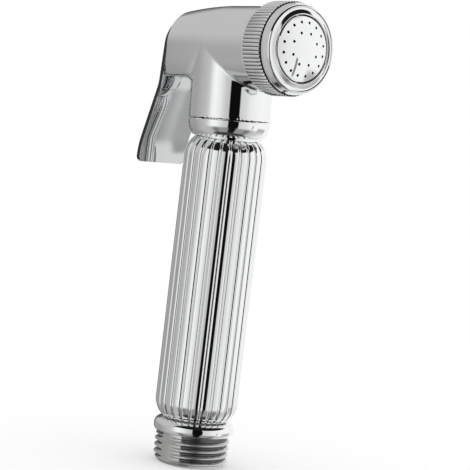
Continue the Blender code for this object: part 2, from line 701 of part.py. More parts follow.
def make_nozzle_nut():
    """Ring nut with straight knurling, a dark groove, a smooth band and a rolled front rim."""
    bore = SCREW_SPIGOT_RADIUS + GAP
    knurl_back = NUT_BACK + KNURL_START
    knurl_front = knurl_back + KNURL_LENGTH
    groove_radius = NUT_BAND_RADIUS - GROOVE_DEPTH
    nut = turned("nozzle_nut", [
        (NUT_LIP_RADIUS, NUT_FRONT - NUT_LIP_ROUND),
        (NUT_LIP_RADIUS + NUT_LIP_ROUND, NUT_FRONT),
        (mix(NUT_LIP_RADIUS, NUT_FRONT_RADIUS, 0.45), NUT_FRONT - 0.2 * NUT_RIM_ROUND),
        (NUT_FRONT_RADIUS - 0.6 * NUT_RIM_ROUND, NUT_FRONT - 0.4 * NUT_RIM_ROUND),
        (NUT_FRONT_RADIUS, NUT_FRONT - NUT_RIM_ROUND),
        (NUT_BAND_RADIUS, NUT_FRONT - NUT_FRONT_TAPER),
        (NUT_BAND_RADIUS, knurl_front + GROOVE_WIDTH),
        (groove_radius, knurl_front + GROOVE_WIDTH),
        (groove_radius, NUT_BACK),
        (bore, NUT_BACK),
        (bore, NUT_LIP_BACK),
        (NUT_LIP_RADIUS, NUT_LIP_BACK),
    ], barrel_frame, chrome, steps=44)
    profiles = []
    for radius_shift, height in ((-KNURL_BEVEL, knurl_back), (0, knurl_back + KNURL_BEVEL), (0, knurl_front)):
        section = []
        for index in range(2 * KNURL_COUNT):
            angle = math.pi * index / KNURL_COUNT
            radius = KNURL_RADIUS - KNURL_DEPTH * (index % 2) + radius_shift
            section.append((radius * math.cos(angle), radius * math.sin(angle), height))
        profiles.append(section)
    knurls = loft("knurl_band", profiles, barrel_frame, cutter=True)
    knurl_core = (bore + groove_radius) / 2
    combine(knurls, cylinder("knurl_core", knurl_core, NUT_BACK, knurl_front + 1, barrel_frame, sides=44,
                             cutter=True), 'DIFFERENCE')
    combine(nut, knurls, 'UNION')


def make_spray_plate():
    """Domed plate with a flange that the nut's lip holds against the gasket."""
    inner_radius = PLATE_WALL_RADIUS - PLATE_WALL
    inner_dome = PLATE_DOME_RADIUS - PLATE_WALL
    inner_angle = math.asin(inner_radius / inner_dome)
    dome_steps = 3
    outline = []
    for step in range(dome_steps + 1):
        turn = PLATE_HALF_ANGLE * step / dome_steps
        outline.append((PLATE_DOME_RADIUS * math.sin(turn), PLATE_DOME_CENTRE + PLATE_DOME_RADIUS * math.cos(turn)))
    outline += [(PLATE_WALL_RADIUS, PLATE_RIM), (PLATE_FLANGE_RADIUS, PLATE_RIM),
                (PLATE_FLANGE_RADIUS, PLATE_BACK), (inner_radius, PLATE_BACK)]
    for step in range(dome_steps, -1, -1):
        turn = inner_angle * step / dome_steps
        outline.append((inner_dome * math.sin(turn), PLATE_DOME_CENTRE + inner_dome * math.cos(turn)))
    plate = turned("spray_plate", outline, barrel_frame, chrome, steps=32)
    crown = PLATE_DOME_CENTRE + PLATE_DOME_RADIUS
    holes = hole_cutter("spray_holes", [(OUTER_HOLE_COUNT, OUTER_HOLE_CIRCLE), (INNER_HOLE_COUNT, INNER_HOLE_CIRCLE)],
                        SPRAY_HOLE_RADIUS, PLATE_RIM, crown + PLATE_WALL)
    combine(plate, holes, 'DIFFERENCE')
    ring("plate_gasket", inner_radius, PLATE_FLANGE_RADIUS, GASKET_BACK, GASKET_BACK + GASKET_THICKNESS,
         barrel_frame, rubber)


# Lever

def lever_runs():
    """The lever's side profile from its top, as runs of (length, tilt at start, tilt at end)."""
    return (
        (LEVER_UPPER_LENGTH, LEVER_UPPER_TILT, LEVER_UPPER_TILT),
        (LEVER_UPPER_BEND * (LEVER_LOWER_TILT - LEVER_UPPER_TILT), LEVER_UPPER_TILT, LEVER_LOWER_TILT),
        (LEVER_LOWER_LENGTH, LEVER_LOWER_TILT, LEVER_LOWER_TILT),
        (LEVER_TIP_BEND * (LEVER_LOWER_TILT - LEVER_TIP_TILT), LEVER_LOWER_TILT, LEVER_TIP_TILT),
        (LEVER_TIP_LENGTH, LEVER_TIP_TILT, LEVER_TIP_TILT),
    )


def lever_length():
    return sum(length for length, start, end in lever_runs())


def lever_point(distance):
    """Place of the inner face at a distance from the top, as (behind the neck axis, height)."""
    back = lever_inner_face(LEVER_TOP)
    height = LEVER_TOP
    left = distance
    for length, start, end in lever_runs():
        part = min(left, length)
        tilt = mix(start, end, part / length / 2)
        back += part * math.sin(tilt)
        height -= part * math.cos(tilt)
        left -= part
        if left <= 0:
            break
    return back, height


def lever_half_width(distance):
    """Half of the blank's width: a round top and small corner rounds at the tip."""
    from_tip = lever_length() - distance
    if distance < LEVER_HALF_WIDTH:
        return math.sqrt(LEVER_HALF_WIDTH ** 2 - (LEVER_HALF_WIDTH - distance) ** 2)
    if from_tip < LEVER_CORNER_ROUND:
        inset = LEVER_CORNER_ROUND - from_tip
        return LEVER_HALF_WIDTH - LEVER_CORNER_ROUND + math.sqrt(LEVER_CORNER_ROUND ** 2 - inset ** 2)
    return LEVER_HALF_WIDTH


def lever_stations():
    """Distances from the top where the blank has a row of points, closer together at its bends."""
    stations = [LEVER_HALF_WIDTH * (1 - math.cos(math.radians(turn))) for turn in (8, 22, 38, 54, 72, 90)]
    passed = 0.0
    for length, start, end in lever_runs():
        steps = 1 if start == end else 4
        for step in range(steps):
            place = passed + length * step / steps
            if place > LEVER_HALF_WIDTH + 0.5:
                stations.append(place)
        passed += length
    whole = lever_length()
    stations += [whole - LEVER_CORNER_ROUND * (1 - math.sin(math.radians(turn))) for turn in (0, 30, 60, 88)]
    return sorted(stations)


def make_trigger_lever():
    """Bent plate that hugs the head's rear, and two ears that carry it on the pin."""
    columns = 6
    bm = bmesh.new()
    rows = []
    for distance in lever_stations():
        back, height = lever_point(distance)
        half = lever_half_width(distance)
        row = [(half * (2 * column / columns - 1), back, height) for column in range(columns + 1)]
        rows.append([bm.verts.new((Vector(point) - pin_place) * MM) for point in row])
    for upper, lower in zip(rows, rows[1:]):
        for column in range(columns):
            bm.faces.new((upper[column], lower[column], lower[column + 1], upper[column + 1]))
    lever = add_object("trigger_lever", mesh_from(bm, "trigger_lever"), pin_frame, chrome)
    solidify = lever.modifiers.new("Plate", 'SOLIDIFY')
    solidify.thickness = LEVER_THICKNESS * MM
    solidify.offset = -1.0
    bevel = lever.modifiers.new("Edges", 'BEVEL')
    bevel.width = LEVER_EDGE_ROUND * MM
    bevel.segments = 2
    bevel.limit_method = 'ANGLE'
    bevel.angle_limit = math.radians(50)
    root = LEVER_GAP_AT_PIN + PIN_INSET + LEVER_THICKNESS / 2
    for side in (-1, 1):
        outline = [(EAR_RADIUS * math.cos(math.radians(turn)), EAR_RADIUS * math.sin(math.radians(turn)))
                   for turn in range(90, 271, 20)]
        outline += [(root, -EAR_RADIUS), (root, EAR_RADIUS)]
        near, far = sorted((side * EAR_INNER, side * (EAR_INNER + EAR_THICKNESS)))
        sections = [[(x, back, up) for back, up in outline] for x in (near, far)]
        combine(lever, loft("ear", sections, pin_frame, cutter=True), 'UNION')
    hole_half = EAR_INNER + EAR_THICKNESS + 1
    hole = cylinder("ear_hole", PIN_RADIUS + GAP, -hole_half, hole_half, pin_axis_frame, sides=16, cutter=True)
    combine(lever, hole, 'DIFFERENCE')


def make_trigger_pin():
    """Cross pin, pressed in from one side of the head and flush with it."""
    height_share = PIN_ABOVE_BARREL_AXIS / REAR_TOP_RADIUS
    side_reach = REAR_HALF_WIDTH * math.sqrt(1 - height_share ** 2)
    pin = cylinder("trigger_pin", PIN_RADIUS, -PIN_BLIND_END, side_reach - GAP, pin_axis_frame, steel, sides=16)
    bevel = pin.modifiers.new("Ends", 'BEVEL')
    bevel.width = 0.15 * MM
    bevel.limit_method = 'ANGLE'


def centre_shift():
    """Move the origin to the middle of the whole length from nozzle to lever tip."""
    front = BARREL_HEIGHT * math.sin(HEAD_PITCH) - PLATE_DOME_CENTRE * math.cos(HEAD_PITCH) - PLATE_DOME_RADIUS
    back, height = lever_point(lever_length())
    back += LEVER_THICKNESS * math.cos(LEVER_TIP_TILT)
    rear = back * math.cos(HEAD_PITCH) + height * math.sin(HEAD_PITCH)
    return -(front + rear) / 2


for old in list(bpy.data.objects):
    bpy.data.objects.remove(old)

parts = bpy.data.collections.new("Handheld bidet shower")
cutters = bpy.data.collections.new("Cutters")
bpy.context.scene.collection.children.link(parts)
bpy.context.scene.collection.children.link(cutters)

chrome = make_material("Chrome", (0.86, 0.87, 0.88), 0.05, 1.0)
brass = make_material("Brass", (0.78, 0.57, 0.26), 0.25, 1.0)
steel = make_material("Stainless steel", (0.62, 0.62, 0.63), 0.25, 1.0)
rubber = make_material("Rubber", (0.03, 0.03, 0.03), 0.7, 0.0)
nylon = make_material("Nylon", (0.85, 0.85, 0.82), 0.5, 0.0)

handset = make_empty("handset", None, (0, centre_shift(), 0))
head_frame = make_empty("head_frame", handset, (0, 0, WAIST), (-HEAD_PITCH, 0, 0))
barrel_frame = make_empty("barrel_frame", head_frame, (0, 0, BARREL_HEIGHT), (math.pi / 2, 0, 0))
pin_place = Vector((0, BARREL_REAR - PIN_INSET, BARREL_HEIGHT + PIN_ABOVE_BARREL_AXIS))
pin_frame = make_empty("pin_frame", head_frame, pin_place)
pin_axis_frame = make_empty("pin_axis_frame", pin_frame, (0, 0, 0), (0, math.pi / 2, 0))

make_inlet_connector()
make_handle_sleeve()
make_handle_core()
make_neck_ring()
make_head_body()
make_gland()
make_valve()
make_nozzle_nut()
make_spray_plate()
make_trigger_lever()
make_trigger_pin()
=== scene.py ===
"""Looks of a handheld bidet shower: polished chrome in a white studio.

Lengths are in millimetres, and become metres where a mesh is made. The handle stands on its
inlet end along +Z, the nozzle looks towards -Y and the lever lies on the +Y side.
"""
import json
import math

import bmesh
import bpy
import numpy as np
from mathutils import Matrix, Vector


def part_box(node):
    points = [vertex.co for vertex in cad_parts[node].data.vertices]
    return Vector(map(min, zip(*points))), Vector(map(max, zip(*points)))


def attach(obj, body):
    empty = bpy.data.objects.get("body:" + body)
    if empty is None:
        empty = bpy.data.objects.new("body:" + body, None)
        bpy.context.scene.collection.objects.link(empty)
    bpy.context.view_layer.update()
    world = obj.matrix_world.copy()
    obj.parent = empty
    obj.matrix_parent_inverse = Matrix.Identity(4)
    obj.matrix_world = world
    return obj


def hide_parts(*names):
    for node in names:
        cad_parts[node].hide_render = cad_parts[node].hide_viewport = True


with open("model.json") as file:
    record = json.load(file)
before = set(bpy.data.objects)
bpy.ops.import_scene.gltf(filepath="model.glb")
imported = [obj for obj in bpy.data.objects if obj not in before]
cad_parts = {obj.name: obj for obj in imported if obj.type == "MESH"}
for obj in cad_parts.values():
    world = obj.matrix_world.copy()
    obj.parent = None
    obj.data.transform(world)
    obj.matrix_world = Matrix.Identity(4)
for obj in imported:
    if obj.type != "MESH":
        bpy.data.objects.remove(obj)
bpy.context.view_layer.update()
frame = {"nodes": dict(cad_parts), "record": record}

MM = 0.001
GAP = 0.3
# Angle between two faces, in degrees, over which their shared edge stays sharp
CREASE = 35
FINE_CREASE = 32
WIDE_CREASE = 40

# Places read from the frame
sleeve_low, sleeve_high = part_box("handle_sleeve")
joints = {joint["name"]: joint for joint in frame["record"]["behaviour"]["joints"]}
barrel_centre = Vector(joints["nozzle_unscrew"]["pos_m"]) / MM
nozzle_axis = Vector(joints["nozzle_unscrew"]["axis"])
pin_centre = Vector(joints["trigger"]["pos_m"]) / MM
HANDLE_Y = (sleeve_low[1] + sleeve_high[1]) / 2 / MM
SLEEVE_BOTTOM = sleeve_low[2] / MM
SLEEVE_TOP = sleeve_high[2] / MM
RING_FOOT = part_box("neck_ring")[0][2] / MM
WAIST = RING_FOOT - GAP
HEAD_PITCH = math.asin(nozzle_axis[2])

# Frames of the handle, the head, the barrel and the lever's pin, in metres
handle_frame = Matrix.Translation((0, HANDLE_Y * MM, 0))
head_frame = Matrix.Translation((0, HANDLE_Y * MM, WAIST * MM)) @ Matrix.Rotation(-HEAD_PITCH, 4, 'X')
BARREL_HEIGHT = (head_frame.inverted() @ (barrel_centre * MM))[2] / MM
barrel_frame = (head_frame @ Matrix.Translation((0, 0, BARREL_HEIGHT * MM))
                @ Matrix.Rotation(math.pi / 2, 4, 'X'))
pin_local = (head_frame.inverted() @ (pin_centre * MM)) / MM
pin_frame = head_frame @ Matrix.Translation(pin_local * MM)
pin_axis_frame = pin_frame @ Matrix.Rotation(math.pi / 2, 4, 'Y')

# The photograph's view, in the handle's own axes
CAMERA_AZIMUTH = math.radians(-42.096)
CAMERA_ELEVATION = math.radians(4.905)
CAMERA_ROLL = math.radians(6.797)
CAMERA_DISTANCE = 599.446
CAMERA_AIM = (4.174, -3.140, 65.458)
CAMERA_LENS = 163.79
SENSOR_WIDTH = 36.0


# Helpers for numbers and outlines

def smooth_blend(value, start, end):
    """Run from 0 at start to 1 at end with level ends, for a number or an array."""
    share = np.clip((value - start) / (end - start), 0.0, 1.0)
    return share * share * (3 - 2 * share)


def mix(first, second, share):
    return first + (second - first) * share


def around(value, margin):
    """Low and high limits on both sides of a value."""
    return value - margin, value + margin


def arc(centre_r, centre_z, radius, start_deg, end_deg, steps):
    """Points of an arc in a turned outline, as (radius, height) pairs."""
    points = []
    for step in range(steps + 1):
        angle = math.radians(mix(start_deg, end_deg, step / steps))
        points.append((centre_r + radius * math.cos(angle), centre_z + radius * math.sin(angle)))
    return points


def circle_row(radius, angles, height):
    """Ring of points at a height. The radius may differ from angle to angle."""
    radius = np.broadcast_to(radius, angles.shape)
    return np.stack([radius * np.cos(angles), radius * np.sin(angles), np.full(len(angles), height)], axis=-1)


# Helpers for meshes

def mesh_from(bm, name):
    mesh = bpy.data.meshes.new(name)
    bm.to_mesh(mesh)
    bm.free()
    return mesh


def new_object(name, mesh, material=None):
    obj = bpy.data.objects.new(name, mesh)
    bpy.context.scene.collection.objects.link(obj)
    if material:
        mesh.materials.append(material)
    return obj


def set_materials(obj, *materials):
    obj.data.materials.clear()
    for material in materials:
        obj.data.materials.append(material)


def shade(obj, sharp_deg):
    """Smooth shading with creases."""
    obj.data.shade_smooth()
    obj.data.set_sharp_from_angle(angle=math.radians(sharp_deg))


def ring_skin(name, rows, material, place, sharp_deg):
    """Skin of closed rings of points in millimetres, whose last ring joins the first."""
    rows = np.asarray(rows, dtype=float)
    row_count, column_count, _ = rows.shape
    index = np.arange(row_count * column_count).reshape(row_count, column_count)
    after = np.roll(index, -1, axis=1)
    upper = np.roll(index, -1, axis=0)
    upper_after = np.roll(after, -1, axis=0)
    faces = np.stack([index, after, upper_after, upper], axis=-1).reshape(-1, 4)
    mesh = bpy.data.meshes.new(name)
    mesh.from_pydata((rows.reshape(-1, 3) * MM).tolist(), [], faces.tolist())
    mesh.transform(place)
    bm = bmesh.new()
    bm.from_mesh(mesh)
    bmesh.ops.recalc_face_normals(bm, faces=bm.faces)
    bm.to_mesh(mesh)
    bm.free()
    obj = new_object(name, mesh, material)
    shade(obj, sharp_deg)
    return obj


def turned(name, outline, material, place, steps):
    """Closed turned body of a closed outline of (radius, height) pairs, none on the axis."""
    angles = np.linspace(0, 2 * math.pi, steps, endpoint=False)
    rows = [circle_row(radius, angles, height) for radius, height in outline]
    return ring_skin(name, rows, material, place, CREASE)


def bake(obj):
    """Apply all modifiers."""
    graph = bpy.context.evaluated_depsgraph_get()
    mesh = bpy.data.meshes.new_from_object(obj.evaluated_get(graph))
    obj.modifiers.clear()
    obj.data = mesh


def combine(obj, tools, operation):
    """Join or cut with tool bodies, which are used up."""
    for tool in tools:
        boolean = obj.modifiers.new("Boolean", 'BOOLEAN')
        boolean.operation = operation
        boolean.object = tool
    bake(obj)
    for tool in tools:
        bpy.data.objects.remove(tool)


def add_rod(bm, radius, bottom, top, steps, place):
    """Add a solid rod along the Z axis of a frame to a mesh."""
    shift = Matrix.Translation((0, 0, (bottom + top) / 2 * MM))
    bmesh.ops.create_cone(bm, cap_ends=True, segments=steps, radius1=radius * MM, radius2=radius * MM,
                          depth=(top - bottom) * MM, matrix=place @ shift)


def rod(name, radius, bottom, top, place, steps=64):
    bm = bmesh.new()
    add_rod(bm, radius, bottom, top, steps, place)
    return new_object(name, mesh_from(bm, name))


def block(name, low, high, place):
    bm = bmesh.new()
    low = Vector(low) * MM
    high = Vector(high) * MM
    shape = Matrix.Translation((low + high) / 2) @ Matrix.Diagonal((*(high - low), 1.0))
    bmesh.ops.create_cube(bm, size=1.0, matrix=place @ shape)
    return new_object(name, mesh_from(bm, name))


# Materials

# Radius of the crown across the lever, in metres
LEVER_CROWN_RADIUS = 0.040
# Scales of the noise behind each look, in cells per metre
MIRROR_DRIFT = 90.0
METAL_DRIFT = 60.0
METAL_GRAIN = 900.0
MOULDED_GRAIN = 1500.0


def link(tree, source, target):
    tree.links.new(source, target)


def new_material(name):
    """A new material with its node tree and shader."""
    material = bpy.data.materials.new(name)
    material.use_nodes = True
    tree = material.node_tree
    return material, tree, tree.nodes["Principled BSDF"]


def noise(tree, place, scale, detail):
    node = tree.nodes.new("ShaderNodeTexNoise")
    node.inputs["Scale"].default_value = scale
    node.inputs["Detail"].default_value = detail
    link(tree, place.outputs["Object"], node.inputs["Vector"])
    return node.outputs["Fac"]


def add_grain(tree, height, strength, distance):
    """Fine bump over the whole surface."""
    bump = tree.nodes.new("ShaderNodeBump")
    bump.inputs["Strength"].default_value = strength
    bump.inputs["Distance"].default_value = distance
    link(tree, height, bump.inputs["Height"])
    link(tree, bump.outputs["Normal"], tree.nodes["Principled BSDF"].inputs["Normal"])


def metal(name, colour, roughness, rough_spread, grain):
    """Metal with a fine grain, whose roughness drifts a little over the surface."""
    material, tree, shader = new_material(name)
    shader.inputs["Base Color"].default_value = (*colour, 1.0)
    shader.inputs["Metallic"].default_value = 1.0
    place = tree.nodes.new("ShaderNodeTexCoord")
    spread = tree.nodes.new("ShaderNodeMapRange")
    spread.inputs["From Min"].default_value = 0.3
    spread.inputs["From Max"].default_value = 0.7
    spread.inputs["To Min"].default_value = roughness - rough_spread
    spread.inputs["To Max"].default_value = roughness + rough_spread
    link(tree, noise(tree, place, METAL_DRIFT, 3.0), spread.inputs["Value"])
    link(tree, spread.outputs["Result"], shader.inputs["Roughness"])
    add_grain(tree, noise(tree, place, METAL_GRAIN, 4.0), grain, 0.00005)
    return material


def mirror(name, colour, dull_share):
    """Mirror-bright plating whose tone drifts a little, as where water has dried on it."""
    material, tree, shader = new_material(name)
    shader.inputs["Metallic"].default_value = 1.0
    shader.inputs["Roughness"].default_value = 0.0
    place = tree.nodes.new("ShaderNodeTexCoord")
    tint = tree.nodes.new("ShaderNodeMix")
    tint.data_type = 'RGBA'
    tint.inputs["A"].default_value = (*colour, 1.0)
    tint.inputs["B"].default_value = (*(part * dull_share for part in colour), 1.0)
    link(tree, noise(tree, place, MIRROR_DRIFT, 3.0), tint.inputs["Factor"])
    link(tree, tint.outputs["Result"], shader.inputs["Base Color"])
    return material


def dull(name, colour, roughness):
    """Rubber or nylon with a fine moulded grain."""
    material, tree, shader = new_material(name)
    shader.inputs["Base Color"].default_value = (*colour, 1.0)
    shader.inputs["Roughness"].default_value = roughness
    place = tree.nodes.new("ShaderNodeTexCoord")
    add_grain(tree, noise(tree, place, MOULDED_GRAIN, 2.0), 0.3, 0.00003)
    return material


def crown(material):
    """Slight crown across the lever plate, as bump: the normal leans outward with the distance
    from the middle."""
    tree = material.node_tree
    place = tree.nodes.new("ShaderNodeTexCoord")
    split = tree.nodes.new("ShaderNodeSeparateXYZ")
    link(tree, place.outputs["Object"], split.inputs["Vector"])
    lean = tree.nodes.new("ShaderNodeMath")
    lean.operation = 'MULTIPLY'
    lean.inputs[1].default_value = 1 / LEVER_CROWN_RADIUS
    link(tree, split.outputs["X"], lean.inputs[0])
    side = tree.nodes.new("ShaderNodeCombineXYZ")
    link(tree, lean.outputs[0], side.inputs["X"])
    surface = tree.nodes.new("ShaderNodeNewGeometry")
    total = tree.nodes.new("ShaderNodeVectorMath")
    total.operation = 'ADD'
    link(tree, surface.outputs["Normal"], total.inputs[0])
    link(tree, side.outputs["Vector"], total.inputs[1])
    level = tree.nodes.new("ShaderNodeVectorMath")
    level.operation = 'NORMALIZE'
    link(tree, total.outputs["Vector"], level.inputs[0])
    link(tree, level.outputs["Vector"], tree.nodes["Principled BSDF"].inputs["Normal"])


chrome = mirror("Chrome", (0.915, 0.92, 0.925), 0.965)
chrome_soft = metal("Chrome_thread", (0.70, 0.70, 0.69), 0.34, 0.05, 0.25)
# Painted shade in the valleys of the thread and between the nut's ridges
valley_shade_metal = metal("Chrome_painted_valley_shade", (0.15, 0.15, 0.155), 0.38, 0.05, 0.25)
# Painted shade: darker copy of the chrome for the lever's face towards the handle
chrome_shaded_face = mirror("Chrome_painted_face_shade", (0.66, 0.665, 0.67), 0.9)
crown(chrome_shaded_face)
# Painted shade along the lever's edge
chrome_edge_shade = metal("Chrome_painted_edge_shade", (0.07, 0.07, 0.075), 0.25, 0.05, 0.25)
brass = metal("Brass_turned", (0.76, 0.56, 0.27), 0.22, 0.05, 0.3)
steel = metal("Steel_drawn", (0.60, 0.60, 0.61), 0.25, 0.05, 0.2)
rubber = dull("Rubber_black", (0.03, 0.03, 0.03), 0.6)
# Painted shade: near-black stand-in for the shade in gaps, grooves and holes
recess_shade = dull("Painted_recess_shade", (0.015, 0.015, 0.015), 0.8)
recess_shade.node_tree.nodes["Principled BSDF"].inputs["Specular IOR Level"].default_value = 0.05
nylon = dull("Nylon_natural", (0.82, 0.82, 0.78), 0.45)


def paint_recess_shade(obj, place, heights, radii, axial):
    """Painted shade: near-black material on faces between two heights and two radii whose normals lie
    along, or across, the axis, in the gaps, grooves and holes that fall into shade."""
    obj.data.materials.append(recess_shade)
    slot = len(obj.data.materials) - 1
    back = place.inverted()
    turn = back.to_3x3()
    for face in obj.data.polygons:
        centre = back @ face.center / MM
        reach = math.hypot(centre[0], centre[1])
        if heights[0] <= centre[2] <= heights[1] and radii[0] <= reach <= radii[1]:
            if (abs((turn @ face.normal)[2]) > 0.8) == axial:
                face.material_index = slot


# Handle sleeve

LOBE_COUNT = 26
LOBE_TURN = math.radians(-0.9)
SLEEVE_RADIUS = 11.6
SLEEVE_BORE = 8.4
SHOULDER_DROP = 2.5
SHOULDER_HEIGHT = 5.2
SHOULDER_STEPS = 14
STRAIGHT_STEPS = 16
GROOVE_LEFT_AT_END = 0.45
# Slope of a lobe against the round of the handle, in degrees, at shares of the way to its groove
LOBE_SLOPES = ((0.0, 0.0), (0.25, 1.0), (0.50, 2.0), (0.56, 14.0), (0.62, 27.0), (0.74, 30.0), (0.80, 46.0),
               (0.86, 60.0), (1.0, 62.0))


def lobe_section():
    """Angles round the handle and the depth under the crest circle at each, over all lobes."""
    pitch = 2 * math.pi / LOBE_COUNT
    places = []
    for (start, _), (end, _) in zip(LOBE_SLOPES, LOBE_SLOPES[1:]):
        places += [start, (start + end) / 2]
    places = np.array(places + [1.0])
    shares, slopes = np.array(LOBE_SLOPES).T
    tangents = np.tan(np.radians(np.interp(places, shares, slopes)))
    width = SLEEVE_RADIUS * pitch / 2
    steps = np.diff(places) * width * (tangents[1:] + tangents[:-1]) / 2
    depths = np.concatenate([[0.0], np.cumsum(steps)])
    half = places * pitch / 2
    lobe_angles = np.concatenate([-half[::-1], half[1:-1]])
    lobe_depths = np.concatenate([depths[::-1], depths[1:-1]])
    crests = pitch * (np.arange(LOBE_COUNT) + 0.5) + LOBE_TURN
    return (crests[:, None] + lobe_angles[None, :]).ravel(), np.tile(lobe_depths, LOBE_COUNT)


def make_sleeve():
    """Fluted tube whose lobes run out over a rounded shoulder at each end."""
    angles, depth = lobe_section()
    whole_turn = 2 * math.atan(SHOULDER_DROP / SHOULDER_HEIGHT)
    shoulder_radius = SHOULDER_HEIGHT / math.sin(whole_turn)
    shoulder = []
    for step in range(SHOULDER_STEPS + 1):
        turn = whole_turn * (1 - step / SHOULDER_STEPS)
        shoulder.append((SLEEVE_RADIUS - shoulder_radius * (1 - math.cos(turn)),
                         SHOULDER_HEIGHT - shoulder_radius * math.sin(turn),
                         mix(GROOVE_LEFT_AT_END, 1.0, step / SHOULDER_STEPS)))
    rows = [(radius, SLEEVE_BOTTOM + rise, share) for radius, rise, share in shoulder]
    low = SLEEVE_BOTTOM + SHOULDER_HEIGHT
    high = SLEEVE_TOP - SHOULDER_HEIGHT
    rows += [(SLEEVE_RADIUS, mix(low, high, step / STRAIGHT_STEPS), 1.0) for step in range(1, STRAIGHT_STEPS)]
    rows += [(radius, SLEEVE_TOP - rise, share) for radius, rise, share in reversed(shoulder)]
    rows += [(SLEEVE_BORE, SLEEVE_TOP, 0.0), (SLEEVE_BORE, SLEEVE_BOTTOM, 0.0)]
    points = [circle_row(radius - share * depth, angles, height) for radius, height, share in rows]
    sleeve = ring_skin("sleeve_skin", points, chrome, handle_frame, WIDE_CREASE)
    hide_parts("handle_sleeve")
    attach(sleeve, "handset")


# Head casting: a blend of a barrel and a neck, with stepped bores, a pocket and two spigots

NECK_RADIUS = 11.46
NECK_FOOT = 5.25
BARREL_RADIUS = 11.5
BARREL_FRONT = 16.4
BARREL_REAR = 18.2
REAR_TOP_RADIUS = 9.95
REAR_HALF_WIDTH = 9.7
REAR_FLOOR = 9.44
CHEEK_START = 1.0
CHEEK_END = 10.0
CHEEK_SQUARENESS = 7.0
ROUND_POWER = 2.0
TAPER_POWER = 1.7
FRONT_BLEND = 0.7
REAR_BLEND = 2.4
BLEND_START = -2.0
BLEND_END = 6.0
EDGE_BLEND = 0.7
NECK_EDGE_BLEND = 0.2
CASTING_VOXEL = 0.4
SCREW_SPIGOT_RADIUS = 10.6
SCREW_SPIGOT_LENGTH = 6.2
SPIGOT_RADIUS = 7.9
HEAD_SPIGOT_LENGTH = 8.0
TUBE_SEAT = 6.0
TUBE_GROOVE = 7.2
POCKET_HALF_WIDTH = 3.25
POCKET_REACH = 1.8
PIN_HOLE_RADIUS = 1.1
PIN_HOLE_BLIND_END = 5.5
PIN_HOLE_OPEN_END = 12.0
SMOOTH_ROD_SIDES = 96
# Valve bore, seat of the gland's head, gland bore and chamber, as (radius, start, end) towards the nozzle
VALVE_BORES = (
    (7.0, 3.7, 30.0),
    (5.55, -BARREL_REAR - 1, -BARREL_REAR + 2.7),
    (4.6, -BARREL_REAR, -8.0),
    (6.2, -9.0, 4.0),
)
# Seat of the water tube, groove of its rubber ring and waterway, as (radius, bottom, top)
TUBE_BORES = (
    (TUBE_SEAT, SLEEVE_TOP - 9.0, SLEEVE_TOP - 1.7),
    (TUBE_GROOVE, SLEEVE_TOP - 5.75, SLEEVE_TOP - 4.25),
    (4.5, SLEEVE_TOP - 2.0, WAIST + BARREL_HEIGHT),
)
# How far off a face's own height or radius its middle may be when it is picked
PICK = 0.01


def soft_max(first, second, reach):
    share = np.maximum(reach - np.abs(first - second), 0.0) / reach
    return np.maximum(first, second) + share * share * reach / 4


def barrel_field(points):
    """Distance-like value of the barrel, below 0 inside."""
    x, y, z = points.T
    up = z - BARREL_HEIGHT
    taper = (np.maximum(y, 0.0) / BARREL_REAR) ** TAPER_POWER
    top = mix(BARREL_RADIUS, REAR_TOP_RADIUS, taper)
    width = mix(BARREL_RADIUS, REAR_HALF_WIDTH, taper)
    squared = smooth_blend(y, CHEEK_START, CHEEK_END)
    floor = mix(BARREL_RADIUS, REAR_FLOOR, squared)
    power = np.where(up >= 0, ROUND_POWER, mix(ROUND_POWER, CHEEK_SQUARENESS, squared))
    height = np.where(up >= 0, top, floor)
    reach = (np.abs(x) / width) ** power + (np.abs(up) / height) ** power
    side = (reach ** (1 / power) - 1) * NECK_RADIUS
    ends = soft_max(y - BARREL_REAR, -BARREL_FRONT - y, EDGE_BLEND)
    return soft_max(side, ends, EDGE_BLEND)


def neck_side(points):
    """Distance to the round side of the neck, below 0 inside."""
    return np.hypot(points[:, 0], points[:, 1]) - NECK_RADIUS


def neck_field(points):
    z = points[:, 2]
    ends = soft_max(NECK_FOOT - z, z - BARREL_HEIGHT, NECK_EDGE_BLEND)
    return soft_max(neck_side(points), ends, NECK_EDGE_BLEND)


def gradient(field, points):
    step = 0.01
    slopes = []
    for axis in range(3):
        shift = np.zeros(3)
        shift[axis] = step
        slopes.append((field(points + shift) - field(points - shift)) / (2 * step))
    return np.stack(slopes, axis=-1)


def unit(vectors):
    return vectors / np.maximum(np.linalg.norm(vectors, axis=-1, keepdims=True), 1e-9)


def casting_field(points):
    """Barrel and neck with a fillet where they meet at an angle, wider behind the neck."""
    barrel = barrel_field(points)
    neck = neck_field(points)
    facing = np.sum(unit(gradient(barrel_field, points)) * unit(gradient(neck_side, points)), axis=-1)
    width = mix(FRONT_BLEND, REAR_BLEND, smooth_blend(points[:, 1], BLEND_START, BLEND_END))
    reach = np.maximum(width * np.clip(1 - facing, 0.0, 1.0), 0.01)
    share = np.maximum(reach - np.abs(barrel - neck), 0.0) / reach
    return np.minimum(barrel, neck) - share * share * reach / 4


def seat_on_field(mesh, field):
    """Move every vertex of a mesh in millimetres onto the field's zero surface."""
    rounds = 6
    least_slope = 0.05
    longest_move = 0.5
    points = np.empty(len(mesh.vertices) * 3)
    mesh.vertices.foreach_get("co", points)
    points = points.reshape(-1, 3)
    for _ in range(rounds):
        slope = gradient(field, points)
        size = np.maximum(np.sum(slope * slope, axis=-1, keepdims=True), least_slope)
        move = field(points)[:, None] * slope / size
        points -= np.clip(move, -longest_move, longest_move)
    mesh.vertices.foreach_set("co", points.ravel())
    mesh.update()


